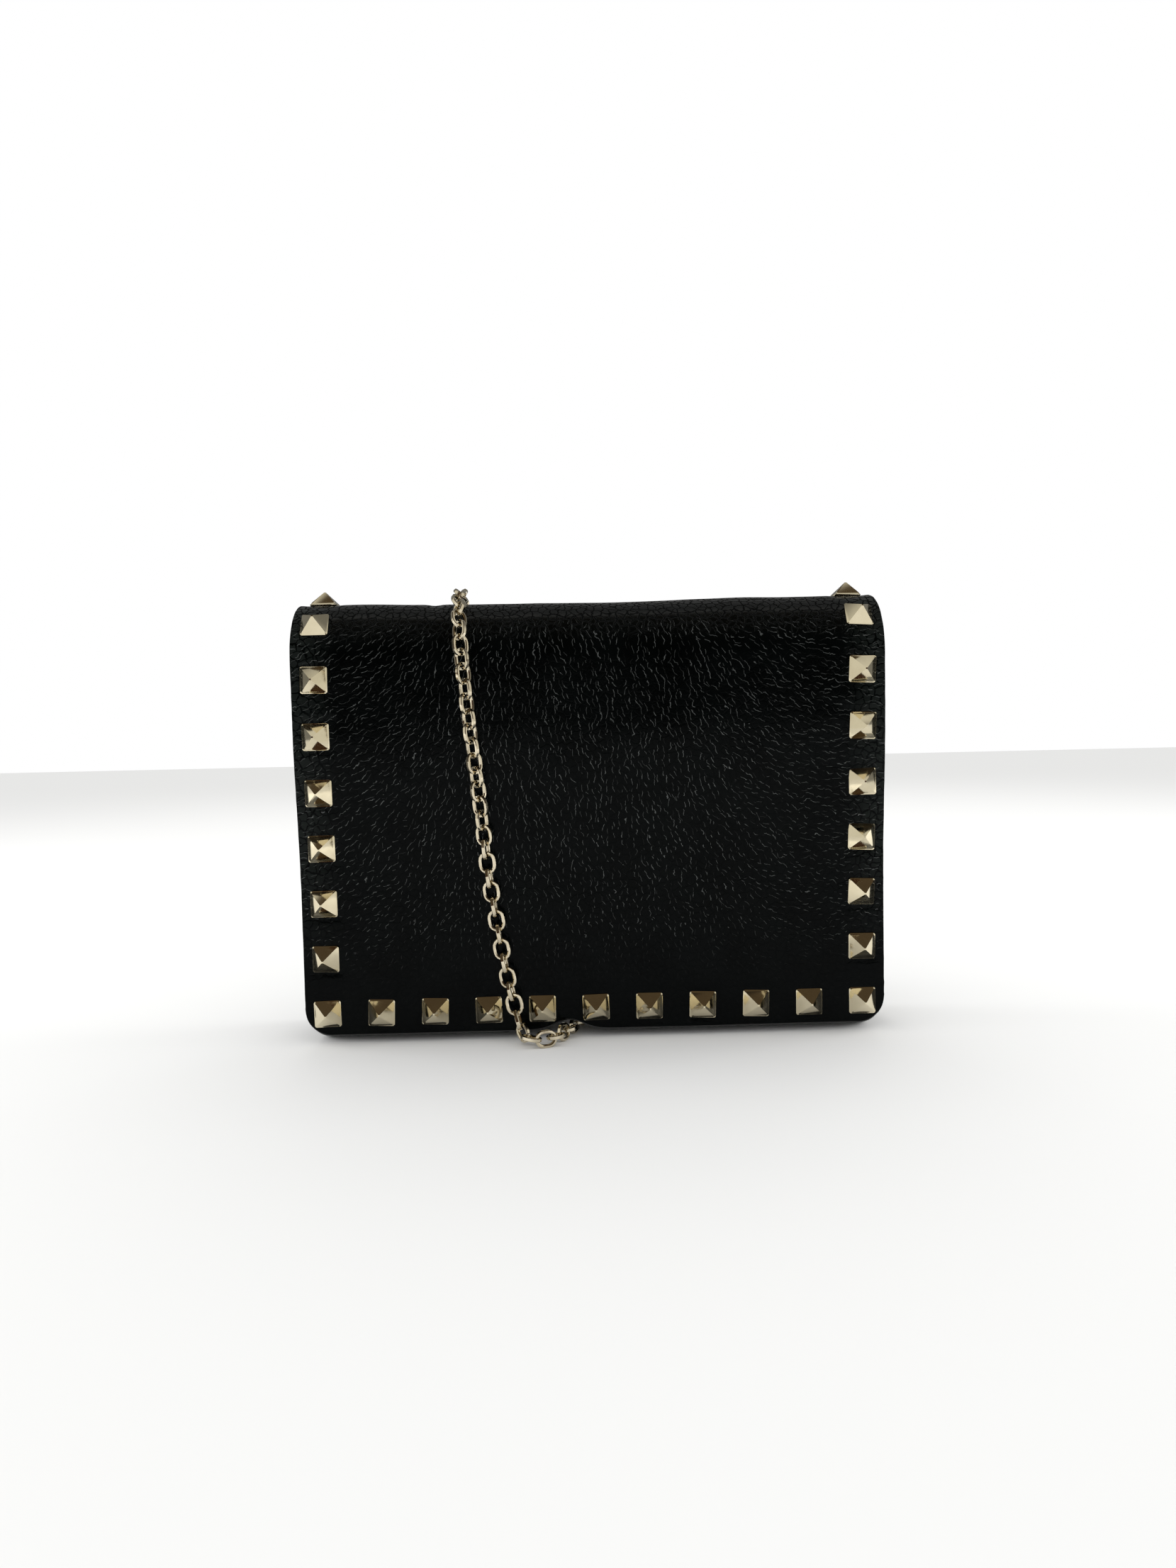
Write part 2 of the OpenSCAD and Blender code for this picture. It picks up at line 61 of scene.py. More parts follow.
# ---------------- sizes, from the frame
flap_low, flap_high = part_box("flap_front_leather")
front_low, front_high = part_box("front_panel")

HALF_W = flap_high.x
BODY_HALF = front_high.x
FACE_Y = flap_low.y
BACK_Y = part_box("back_panel")[1].y
CREST_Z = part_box("flap_top_leather")[1].z
FLAP_FOOT = flap_low.z
BASE_TOP = front_low.z
LEATHER = front_high.y - front_low.y
FOLD_R = 20 * MM
BACK_R = 15 * MM
CREST_Y = FACE_Y + FOLD_R
FOLD_Z = CREST_Z - FOLD_R
BACK_Z = CREST_Z - BACK_R
LEAN = 3.5 * MM
LEAN_FROM, LEAN_TO = 50 * MM, 105 * MM
CORNER_R = 8.5 * MM
LINING = 0.8 * MM
LINING_GAP, LINING_INSET = 0.03 * MM, 0.5 * MM
BORDER_ROUND = 0.85  # how far a sheet's border stands out, as a share of half its thickness

# Distance along the leather from the table: up the face, over the fold and down the back
FOLD_FROM = FOLD_Z
CREST_AT = FOLD_FROM + FOLD_R * math.pi / 2
FOLD_TO = CREST_AT + BACK_R * math.pi / 2
SEAM_LAP = 2 * MM
BACK_FOOT = FOLD_TO + BACK_Z - BASE_TOP + SEAM_LAP
SPLIT_AT = CREST_AT + BACK_R * math.radians(2)

# ---------------- camera
CAMERA_AT = Vector((-0.0066, -0.3498, 0.1013))
CAMERA_PITCH, CAMERA_ROLL, CAMERA_YAW = -0.0530, 0.02169, -0.01632
CAMERA_LENS = 23.945


def make_camera():
    turn = Matrix.Rotation(CAMERA_YAW, 3, "Z") @ Matrix.Rotation(CAMERA_PITCH, 3, "X")
    turn = turn @ Matrix.Rotation(CAMERA_ROLL, 3, "Y")
    right, forward, up = turn.col[0], turn.col[1], turn.col[2]
    data = bpy.data.cameras.new("camera")
    data.lens = CAMERA_LENS
    data.clip_start = 0.01
    camera = bpy.data.objects.new("camera", data)
    camera.matrix_world = Matrix.Translation(CAMERA_AT) @ Matrix((right, up, -forward)).transposed().to_4x4()
    collection.objects.link(camera)
    bpy.context.scene.camera = camera


make_camera()


# ---------------- node helpers
class Shader:
    """A material or a world under construction: its node tree and its last shader node."""

    def __init__(self, name, kind=bpy.data.materials, last="Principled BSDF"):
        self.made = kind.new(name)
        self.made.use_nodes = True
        self.tree = self.made.node_tree
        self.last = self.tree.nodes[last]

    def set(self, **values):
        for key, value in values.items():
            self.last.inputs[key.replace("_", " ")].default_value = value

    def node(self, kind, inputs=None, **settings):
        """A new node. Each input is another node's output or a plain value."""
        made = self.tree.nodes.new(kind)
        for key, value in settings.items():
            setattr(made, key, value)
        for key, value in (inputs or {}).items():
            if isinstance(value, bpy.types.NodeSocket):
                self.tree.links.new(value, made.inputs[key])
            else:
                made.inputs[key].default_value = value
        return made

    def to(self, socket, value):
        self.tree.links.new(value, self.last.inputs[socket])

    def math(self, operation, *values):
        return self.node("ShaderNodeMath", dict(enumerate(values)), operation=operation).outputs[0]

    def vector_math(self, operation, *values):
        return self.node("ShaderNodeVectorMath", dict(enumerate(values)), operation=operation).outputs[0]

    def add(self, a, b):
        return self.math("ADD", a, b)

    def times(self, a, b):
        return self.math("MULTIPLY", a, b)

    def times_add(self, a, b, c):
        return self.math("MULTIPLY_ADD", a, b, c)

    def apart(self, vector):
        return self.node("ShaderNodeSeparateXYZ", {"Vector": vector}).outputs

    def ramp(self, value, low, high, to_low=0.0, to_high=1.0):
        inputs = {"Value": value, "From Min": low, "From Max": high, "To Min": to_low, "To Max": to_high}
        return self.node("ShaderNodeMapRange", inputs, interpolation_type="SMOOTHSTEP").outputs["Result"]

    def mix(self, share, a, b):
        """Between a and b, each another node's output or a plain colour."""
        a, b = ((*c, 1.0) if isinstance(c, tuple) else c for c in (a, b))
        return self.node("ShaderNodeMix", {0: share, 6: a, 7: b}, data_type="RGBA").outputs[2]

    def uv(self):
        return self.node("ShaderNodeUVMap", uv_map="grain").outputs["UV"]

    def place(self):
        return self.node("ShaderNodeTexCoord").outputs["Object"]

    def noise(self, vector, scale, detail=2.0, rough=0.5):
        inputs = {"Vector": vector, "Scale": scale, "Detail": detail, "Roughness": rough}
        return self.node("ShaderNodeTexNoise", inputs).outputs["Fac"]

    def streaks(self, vector, scale):
        """Noise with a scale of its own along each axis."""
        mapping = self.node("ShaderNodeMapping", {"Vector": vector, "Scale": scale})
        return self.noise(mapping.outputs["Vector"], 1.0)

    def ribs(self, scale, distortion, **more):
        inputs = {"Vector": self.uv(), "Scale": scale, "Distortion": distortion, **more}
        return self.node("ShaderNodeTexWave", inputs, bands_direction="Y").outputs["Fac"]

    def cells(self, vector, scale, feature="DISTANCE_TO_EDGE"):
        inputs = {"Vector": vector, "Scale": scale}
        made = self.node("ShaderNodeTexVoronoi", inputs, feature=feature, voronoi_dimensions="2D")
        return made.outputs["Distance"]

    def bump(self, height, depth):
        bumped = self.node("ShaderNodeBump", {"Height": height, "Distance": depth})
        self.to("Normal", bumped.outputs["Normal"])

    def surface(self, tone, dark, light, spots, rough):
        """Colour from dark to light by tone, and roughness between two values by spots."""
        self.to("Base Color", self.mix(tone, dark, light))
        self.to("Roughness", self.ramp(spots, 0.3, 0.7, *rough))


# ---------------- materials
def pebbled_leather():
    """Pebbled calf leather. The grain map is in millimetres across and along the hide."""
    m = Shader("black_leather")
    x, along, _ = m.apart(m.uv())
    wobble = m.node("ShaderNodeTexNoise", {"Vector": m.uv(), "Scale": 0.35, "Detail": 2.0}).outputs["Color"]
    shift = m.vector_math("SUBTRACT", wobble, (0.5, 0.5, 0.5))
    moved = m.vector_math("MULTIPLY_ADD", shift, (2.6, 2.6, 0), m.uv())
    pebble = m.ramp(m.cells(moved, 0.40), 0.0, 0.16)
    pores = m.cells(moved, 1.5, "F1")

    # Short creases in rows that are upright in the middle and lean further over towards the sides
    crease_apart, crease_step = 2.1, 2.6
    side = m.math("ABSOLUTE", x)
    lean = m.times(m.ramp(side, 12.0, 94.0, 0.0, math.radians(-78)), m.math("SIGN", x))
    lean = m.add(lean, m.ramp(m.noise(m.uv(), 0.09, 1.0), 0.3, 0.7, -0.2, 0.2))
    lean = m.math("SNAP", lean, math.radians(20))
    sine, cosine = m.math("SINE", lean), m.math("COSINE", lean)
    spot_x, spot_y, _ = m.apart(moved)
    across = m.math("SUBTRACT", m.times(spot_x, cosine), m.times(spot_y, sine))
    down = m.add(m.times(spot_x, sine), m.times(spot_y, cosine))
    rows = {"X": m.math("DIVIDE", across, crease_apart), "Y": m.math("DIVIDE", down, crease_step)}
    rows = m.node("ShaderNodeCombineXYZ", rows).outputs[0]

    # One crease to each cell, with a length, a slant and a strength of its own
    cell = {"Vector": rows, "Scale": 1.0, "Randomness": 0.75}
    cell = m.node("ShaderNodeTexVoronoi", cell, voronoi_dimensions="2D").outputs
    off_x, off_y, _ = m.apart(m.vector_math("SUBTRACT", rows, cell["Position"]))
    red, green, blue = m.node("ShaderNodeSeparateColor", {"Color": cell["Color"]}).outputs
    slant = m.times(off_y, m.ramp(blue, 0.0, 1.0, -0.35, 0.35))
    line = m.ramp(m.math("ABSOLUTE", m.add(off_x, slant)), 0.01, 0.072, 1.0, 0.0)
    length = m.times_add(red, 0.3, m.ramp(along, 20.0, 110.0, 0.18, 0.42))
    reach = m.math("DIVIDE", m.math("ABSOLUTE", off_y), length)
    crease = m.times(line, m.ramp(reach, 0.5, 1.0, 1.0, 0.0))
    crease = m.times(crease, m.ramp(green, 0.0, 0.7, 0.25, 1.0))

    # The creases fade in patches, near the lower edge and over the fold, where the pebbles stand out
    patch = m.ramp(m.noise(m.uv(), 0.12), 0.35, 0.58, 0.5, 1.0)
    faded = m.times(m.ramp(along, 130.0, 142.0, 1.0, 0.0), m.ramp(along, 14.0, 52.0, 0.05, 1.0))
    crease = m.times(crease, m.times(patch, faded))
    folded = m.ramp(along, 126.0, 142.0, 0.04, 1.0)
    raised = m.times(pebble, folded)
    height = m.times_add(pores, -0.05, m.times(raised, 2.6))
    m.bump(m.times_add(crease, -1.0, height), 0.15 * MM)

    tone = m.noise(m.uv(), 0.06, 3.0)
    deep = m.mix(m.ramp(tone, 0.35, 0.65), (0.0003, 0.0007, 0.0007), (0.0008, 0.0014, 0.0014))
    # Painted sheen: near the side edges the pebble tops get a lighter base colour, standing in for the sheen
    # seen there
    painted_edge_sheen = m.times(m.ramp(side, 80.0, 94.0), m.ramp(along, 20.0, 70.0))
    deep = m.mix(m.times(painted_edge_sheen, m.ramp(pebble, 0.2, 1.0)), deep, (0.008, 0.010, 0.009))
    # Painted highlight: the creases' base colour is lifted to pale grey, standing in for the glints along
    # them
    m.to("Base Color", m.mix(m.ramp(crease, 0.1, 0.8, 0.0, 0.95), deep, (0.050, 0.056, 0.054)))
    dull = m.times(m.math("SUBTRACT", 1.0, pebble), folded)
    m.to("Roughness", m.times_add(dull, 0.45, m.ramp(m.noise(m.uv(), 0.5, 3.0), 0.3, 0.7, 0.17, 0.24)))
    m.to("Specular IOR Level", m.times_add(crease, 0.6, m.times_add(raised, 0.20, 0.05)))
    return m.made


def edge_paint():
    """Satin black paint on the cut edges and the leather's back."""
    m = Shader("edge_paint")
    spots = m.noise(m.place(), 900.0, 3.0)
    m.surface(m.ramp(spots, 0.35, 0.7), (0.006, 0.0065, 0.0065), (0.012, 0.013, 0.013), spots, (0.30, 0.46))
    m.bump(spots, 0.03 * MM)
    return m.made


def plated_metal(name, light, dark, rough):
    """Polished pale gold plate with faint cloudiness and hair-fine scratches."""
    m = Shader(name)
    cloud = m.noise(m.place(), 140.0, 4.0, 0.6)
    m.surface(m.ramp(cloud, 0.32, 0.7), light, dark, cloud, rough)
    m.bump(m.streaks(m.place(), (9000, 2600, 5200)), 0.0008 * MM)
    m.set(Metallic=1.0)
    return m.made


def lining_fabric():
    """Fine ribbed lining, mapped in millimetres."""
    m = Shader("lining")
    weft = m.streaks(m.uv(), (2.4, 0.8, 1))
    height = m.times_add(weft, 0.5, m.ribs(0.55, 0.35, Detail=1.0))
    m.bump(height, 0.05 * MM)
    m.surface(m.ramp(height, 0.3, 1.2), (0.006, 0.0055, 0.0052), (0.020, 0.018, 0.017), weft, (0.7, 0.9))
    m.set(Sheen_Weight=0.25, Sheen_Roughness=0.4)
    return m.made


def ribbon_fabric(name, dark, light, across=1.4):
    """Woven tape or ribbon with fine ribs across it, mapped in millimetres."""
    m = Shader(name)
    thread = m.streaks(m.uv(), (6.0, 1.2, 1))
    height = m.times_add(thread, 0.6, m.ribs(across, 0.2))
    m.bump(height, 0.05 * MM)
    m.surface(m.ramp(height, 0.3, 1.3), dark, light, thread, (0.62, 0.85))
    m.set(Sheen_Weight=0.2, Sheen_Roughness=0.4)
    return m.made


def smooth_leather():
    """Smooth lining leather with fine pores, mapped in millimetres."""
    m = Shader("inner_leather")
    soft = m.noise(m.uv(), 0.16, 3.0)
    m.bump(m.times_add(m.cells(m.uv(), 2.6, "F1"), 0.6, soft), 0.05 * MM)
    m.surface(m.ramp(soft, 0.3, 0.7), (0.008, 0.0075, 0.007), (0.017, 0.016, 0.015), soft, (0.38, 0.52))
    return m.made


def spotted(name, dark, light, rough, scale, depth, metallic=0.0):
    """A plain solid stuff with fine spots and a slightly uneven face, in the model's own space."""
    m = Shader(name)
    spots = m.noise(m.place(), scale, 4.0, 0.6)
    m.surface(m.ramp(spots, 0.32, 0.68), dark, light, spots, rough)
    m.bump(spots, depth)
    m.set(Metallic=metallic)
    return m.made


LEATHER_MAT = pebbled_leather()
EDGE_MAT = edge_paint()
STUD_MAT = plated_metal("stud_metal", (0.76, 0.68, 0.49), (0.68, 0.60, 0.42), (0.06, 0.10))
CHAIN_MAT = plated_metal("chain_metal", (0.74, 0.66, 0.50), (0.64, 0.56, 0.41), (0.04, 0.09))
LINING_MAT = lining_fabric()
INNER_MAT = smooth_leather()
ZIP_MAT = plated_metal("zip_metal", (0.72, 0.63, 0.44), (0.62, 0.53, 0.35), (0.12, 0.24))
MAGNET_MAT = spotted("magnet", (0.08, 0.08, 0.085), (0.14, 0.14, 0.145), (0.35, 0.5), 900.0, 0.01 * MM, 0.9)
BOARD_MAT = spotted("board", (0.003, 0.0028, 0.0026), (0.008, 0.0075, 0.007), (0.6, 0.8), 1600.0, 0.03 * MM)
THREAD_MAT = spotted("thread", (0.010, 0.010, 0.011), (0.024, 0.024, 0.026), (0.45, 0.6), 2600.0, 0.02 * MM)
RIBBON_MAT = ribbon_fabric("ribbon", (0.006, 0.006, 0.007), (0.020, 0.019, 0.021))
TAPE_MAT = ribbon_fabric("zip_tape", (0.005, 0.005, 0.0055), (0.018, 0.018, 0.019), 2.2)

# Materials of a sheet: its face, its border and its back
HIDE = [LEATHER_MAT, EDGE_MAT, EDGE_MAT]
INNER = [INNER_MAT] * 3
CLOTH = [LINING_MAT] * 3


# ---------------- mesh helpers
def make_piece(name, verts, faces, materials, face_materials=None, uvs=None, smooth_angle=None):
    """A mesh piece. uvs is its vertices' places in the grain. Edges over smooth_angle degrees are sharp."""
    mesh = bpy.data.meshes.new(name)
    mesh.from_pydata([tuple(v) for v in verts], [], [tuple(f) for f in faces])
    for m in materials:
        mesh.materials.append(m)
    if face_materials is not None:
        mesh.polygons.foreach_set("material_index", np.asarray(face_materials, np.int32))
    mesh.polygons.foreach_set("use_smooth", np.ones(len(mesh.polygons), bool))
    if uvs is not None:
        layer = mesh.uv_layers.new(name="grain")
        corners = np.zeros(len(mesh.loops), np.int32)
        mesh.loops.foreach_get("vertex_index", corners)
        layer.data.foreach_set("uv", np.asarray(uvs, np.float32)[corners].ravel())
    mesh.update()
    if smooth_angle is not None:
        mesh.set_sharp_from_angle(angle=math.radians(smooth_angle))
    piece = bpy.data.objects.new(name, mesh)
    collection.objects.link(piece)
    return piece


def normals_of(grid):
    """Unit normals of a grid of points, rows first."""
    return unit(np.cross(np.gradient(grid, axis=0), np.gradient(grid, axis=1)))


def unit(vectors):
    return vectors / np.maximum(np.linalg.norm(vectors, axis=-1, keepdims=True), 1e-12)


def run_along(line):
    """Distance from a line's start to each of its points."""
    return np.concatenate([[0], np.cumsum(np.linalg.norm(np.diff(line, axis=0), axis=1))])


def copies(base, faces, places):
    """The same small mesh at many places, each a turn and a shift."""
    verts = [base @ turn.T + np.array(shift) for turn, shift in places]
    return np.concatenate(verts), [[v + i * len(base) for v in f] for i in range(len(places)) for f in faces]


def tube_faces(rings, around, start=0):
    """The bands between rings of points, and a cap at each end."""
    faces = []
    for k in range(start, start + (rings - 1) * around, around):
        for j in range(around):
            a, b = k + j, k + (j + 1) % around
            faces.append((a, b, b + around, a + around))
    last = start + (rings - 1) * around
    return faces + [tuple(range(start, start + around))[::-1], tuple(range(last, last + around))]


def shell(name, outer, thickness, uv, materials, open_side=None, hole=None):
    """A sheet of leather or cloth: outer is a grid of points, and the sheet lies behind it.
    Its borders are half round, apart from open_side, which meets another sheet. It has three materials, for
    its face, its border and its back.
    hole marks the cells of the grid that are cut out."""
    rows, columns = outer.shape[:2]
    inner = outer - thickness * normals_of(outer)
    count = rows * columns
    index = np.arange(count).reshape(rows, columns)
    verts = [outer.reshape(-1, 3), inner.reshape(-1, 3)]
    uvs = [uv.reshape(-1, 2), uv.reshape(-1, 2)]
    a, b, c, d = index[:-1, :-1], index[:-1, 1:], index[1:, 1:], index[1:, :-1]
    front = np.stack([a, d, c, b], -1)
    rims = []
    if hole is not None:
        for i, j in np.argwhere(hole):
            for di, dj, p, q in ((-1, 0, (0, 0), (0, 1)), (1, 0, (1, 1), (1, 0)),
                                 (0, -1, (1, 0), (0, 0)), (0, 1, (0, 1), (1, 1))):
                if not hole[i + di, j + dj]:
                    p, q = index[i + p[0], j + p[1]], index[i + q[0], j + q[1]]
                    rims.append((p, p + count, q + count, q))
        front = front[~hole]
    front = front.reshape(-1, 4)
    faces = [front, front[:, ::-1] + count]
    kinds = [np.zeros(len(front), int), np.full(len(front), 2)]
    if rims:
        faces.append(np.array(rims))
        kinds.append(np.ones(len(rims), int))

    ring = [(0, j) for j in range(columns)] + [(i, columns - 1) for i in range(1, rows)]
    ring += [(rows - 1, j) for j in range(columns - 2, -1, -1)] + [(i, 0) for i in range(rows - 2, 0, -1)]
    ring = np.array(ring)
    step = np.zeros_like(ring)
    flat = np.zeros(len(ring), bool)
    for side, axis, value, inward in (("first", 0, 0, 1), ("last", 0, rows - 1, -1),
                                      ("left", 1, 0, 1), ("right", 1, columns - 1, -1)):
        on = ring[:, axis] == value
        step[on, axis] = inward
        if side == open_side:
            flat |= on
    near = ring + step
    o, i = outer[ring[:, 0], ring[:, 1]], inner[ring[:, 0], ring[:, 1]]
    out = unit(o - outer[near[:, 0], near[:, 1]])
    out[flat] = 0
    centre, half = (o + i) / 2, (o - i) / 2
    reach = np.linalg.norm(half, axis=1, keepdims=True) * BORDER_ROUND
    loops = [index[ring[:, 0], ring[:, 1]]]
    start = 2 * count
    for angle in (40, 75, 105, 140):
        t = math.radians(angle)
        verts.append(centre + half * math.cos(t) + out * reach * math.sin(t))
        uvs.append(uv[ring[:, 0], ring[:, 1]])
        loops.append(np.arange(start, start + len(ring)))
        start += len(ring)
    loops.append(loops[0] + count)
    for p, q in zip(loops, loops[1:]):
        band = np.stack([p, np.roll(p, -1), np.roll(q, -1), q], -1)
        faces.append(band)
        kinds.append(np.ones(len(band), int))
    return make_piece(name, np.concatenate(verts), np.concatenate(faces), materials,
                      np.concatenate(kinds), np.concatenate(uvs))


def even(low, high, spacing):
    return np.linspace(low, high, max(2, int(round(abs(high - low) / spacing)) + 1))


def smoothstep(t):
    t = np.clip(t, 0, 1)
    return t * t * (3 - 2 * t)


# ---------------- the hide's side view
def side_view(along):
    """Place and outward direction, in Y and Z, of the outer face at each distance along the leather."""
    p = np.asarray(along, float)
    lean = smoothstep((p - LEAN_FROM) / (LEAN_TO - LEAN_FROM))
    y = FACE_Y + LEAN * (1 - lean)
    z = p.copy()
    ny, nz = -np.ones_like(p), np.zeros_like(p)
    for low, high, radius, base, from_angle in ((FOLD_FROM, CREST_AT, FOLD_R, FOLD_Z, 0.0),
                                                (CREST_AT, FOLD_TO, BACK_R, BACK_Z, math.pi / 2)):
        on = (p > low) & (p <= high)
        angle = from_angle + (p - low) / radius
        ny = np.where(on, -np.cos(angle), ny)
        nz = np.where(on, np.sin(angle), nz)
        y = np.where(on, CREST_Y - radius * np.cos(angle), y)
        z = np.where(on, base + radius * np.sin(angle), z)
    down = p > FOLD_TO
    y = np.where(down, BACK_Y, y)
    z = np.where(down, BACK_Z - (p - FOLD_TO), z)
    ny = np.where(down, 1.0, ny)
    nz = np.where(down, 0.0, nz)
    return y, z, ny, nz


# ---------------- studs
STUD_HALF = 4.3 * MM
STUD_H = 4.5 * MM
STUD_PITCH_X, STUD_PITCH_Z = 17.55 * MM, 18.1 * MM
STUD_ROW_Z = 10 * MM
STUDS_ACROSS = 11
STUD_ROWS = 6
STUD_COLUMN_X = (STUDS_ACROSS - 1) / 2 * STUD_PITCH_X
STUD_FOLD_AT = FOLD_FROM + FOLD_R * math.radians(37)
STUD_TOP_AT = CREST_AT + BACK_R * math.radians(2)


def stud_places():
    """Where each stud stands: its x and its distance along the leather, front studs first."""
    places = [(-STUD_COLUMN_X + i * STUD_PITCH_X, STUD_ROW_Z) for i in range(STUDS_ACROSS)]
    for side in (-1, 1):
        places += [(side * STUD_COLUMN_X, STUD_ROW_Z + k * STUD_PITCH_Z) for k in range(1, STUD_ROWS + 1)]
        places.append((side * STUD_COLUMN_X, STUD_FOLD_AT))
    tops = [(side * STUD_COLUMN_X, STUD_TOP_AT) for side in (-1, 1)]
    return places, tops


FRONT_STUDS, TOP_STUDS = stud_places()


def stud_mesh():
    """A pyramid with a rounded lip, its ridges and lip softened."""
    bm = bmesh.new()
    half, lip = STUD_HALF, 0.5 * MM
    levels = ((half - 0.1 * MM, -0.3 * MM), (half, 0.0), (half, lip * 0.45), (half - 0.28 * MM, lip),
              (0.26 * MM, STUD_H))
    rings = []
    for r, z in levels:
        rings.append([bm.verts.new((sx * r, sy * r, z)) for sx, sy in ((-1, -1), (1, -1), (1, 1), (-1, 1))])
    for low, high in zip(rings, rings[1:]):
        for k in range(4):
            bm.faces.new((low[k], low[(k + 1) % 4], high[(k + 1) % 4], high[k]))
    bm.faces.new(rings[-1])
    bm.faces.new(rings[0][::-1])
    upright = [e for e in bm.edges if e.verts[0].co.z != e.verts[1].co.z
               and max(v.co.z for v in e.verts) <= lip + 1e-7]
    bmesh.ops.bevel(bm, geom=upright, offset=0.55 * MM, segments=3, affect="EDGES", profile=0.5)
    ridges = [e for e in bm.edges if max(v.co.z for v in e.verts) > STUD_H - 1e-7
              and min(v.co.z for v in e.verts) < lip + 1e-6]
    bmesh.ops.bevel(bm, geom=ridges, offset=0.16 * MM, segments=2, affect="EDGES", profile=0.5)
    bm.normal_update()
    bm.verts.index_update()
    verts = np.array([v.co[:] for v in bm.verts])
    faces = [[v.index for v in f.verts] for f in bm.faces]
    bm.free()
    return verts, faces


def make_studs(name, places, replaced, body, rng):
    """Studs at their places on the hide, each set a little askew."""
    set_in = []
    for x, along in places:
        y, z, ny, nz = (float(v) for v in side_view(along))
        up = Vector((0, ny, nz))
        side = Vector((1, 0, 0))
        turn = Matrix((side, up.cross(side), up)).transposed()
        for most, axis in ((3, "X"), (3, "Y"), (2.5, "Z")):
            turn = turn @ Matrix.Rotation(math.radians(rng.uniform(-most, most)), 3, axis)
        set_in.append((np.array(turn), (x, y, z)))
    verts, faces = copies(*stud_mesh(), set_in)
    piece = make_piece(name, verts, faces, [STUD_MAT], smooth_angle=20)
    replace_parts(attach(piece, body), replaced)


# ---------------- chain
CHAIN_D = 5.6 * MM
LINK_PITCH, LINK_LENGTH = 4.7 * MM, 7.3 * MM
LINK_WIRE = 0.6 * MM
LINK_STEPS = 8
RING_WIRE, RING_Y = 1.8 * MM, 6 * MM
# Open links settle lower on the fold than the plain tube that the way is for
SETTLE, SETTLE_FROM, SETTLE_OVER = 1.1 * MM, 136 * MM, 10 * MM
# Turns of the links about the way, in degrees, measured from facing the front at one point of the drape.
# Low down on the drape they lie flatter against the leather.
FACING_POINT = 9
LINK_TURN, FLAT_TURN, LINK_PLAY = 45, 5, 7
FLAT_FROM, FLAT_OVER = 85 * MM, 30 * MM


def way(*points):
    """Points in millimetres as places in metres."""
    return [tuple(v * MM for v in p) for p in points]


# The chain's way, from the left D-ring to the right one. The hank comes between the floor and the rise.
CHAIN_BACK_WAY = way(
    (-92.6, 7, 107.6), (-95.8, 9.5, 100), (-98.2, 14, 91.5), (-97.6, 19, 83.5), (-94.2, 22.6, 75),
    (-90, 23.1, 62), (-87, 23, 55), (-83, 23, 48.5), (-78, 23, 44.5), (-73, 23, 43), (-68, 23, 44.5),
    (-63, 23, 48.5), (-58.5, 23, 56), (-54.5, 23, 66), (-51, 23, 79), (-48, 23, 94))
CHAIN_OVER_WAY = way(
    (-47.9, 23, 94.6), (-45.5, 23.1, 110), (-44.5, 23.2, 120), (-43.8, 23.3, 130), (-43.5, 22.2, 135.5),
    (-43.2, 19.7, 140.5), (-43, 15.6, 144.5), (-42.5, 10.5, 147), (-42.1, 7.5, 147.8), (-42, 5.6, 147.9))
CHAIN_DRAPE_WAY = way(
    (-42, 5, 147.9), (-41.9, 2.5, 147.8), (-41.9, -1.3, 147.1), (-41.7, -7, 144.8), (-41.4, -11.8, 141.1),
    (-41, -15.5, 136.2), (-40.7, -17.9, 130.5), (-40.2, -18.7, 124), (-39.4, -18.7, 115),
    (-38.5, -18.7, 105), (-37.2, -18.3, 92), (-36, -17.3, 80), (-34.8, -16.1, 68), (-33.8, -15.4, 56),
    (-32.2, -15.1, 44), (-30.4, -15.1, 32), (-28.4, -15.1, 21), (-26.6, -15.2, 13), (-25.9, -15.4, 9.6),
    (-25.5, -15.8, 7.9))
CHAIN_FLOOR_WAY = way(
    (-25.2, -16.1, 7.1), (-24.8, -16.6, 5.7), (-24, -17.6, 4.2), (-22.5, -19.8, 3.1), (-19.5, -21.8, 2.8),
    (-16, -21.5, 2.8), (-13, -18.5, 2.8), (-10.6, -14, 2.8), (-8.2, -8.5, 2.8), (-5.8, -2, 2.8),
    (-3.8, 6, 2.8), (-2.4, 14, 2.8), (-1.4, 22, 2.8), (-1, 29, 2.8), (-1, 34, 2.8))
CHAIN_RISE_WAY = way(
    (77, 51.1, 14.2), (82, 51, 13.6), (86, 50.2, 11), (89.4, 48, 7), (92.2, 44, 4), (94.2, 38.5, 2.9),
    (95.3, 32, 2.8), (95.6, 25, 2.8), (95.6, 18, 2.8), (95.6, 11, 4), (95.6, 7.4, 7.8), (95.6, 6.4, 14),
    (95.6, 6.2, 30), (95.6, 6.2, 48), (95.6, 6.2, 66), (95.5, 6.2, 82), (94.9, 6.2, 94), (93.6, 6.2, 102),
    (92.7, 6.2, 107.6))
HANK_X, HANK_Y = 12 * MM, 38 * MM
HANK_RUN, HANK_R = 60 * MM, 13 * MM
HANK_LAYERS = 3
TIE_X, TIE_W, TIE_T = 42 * MM, 6 * MM, 0.5 * MM


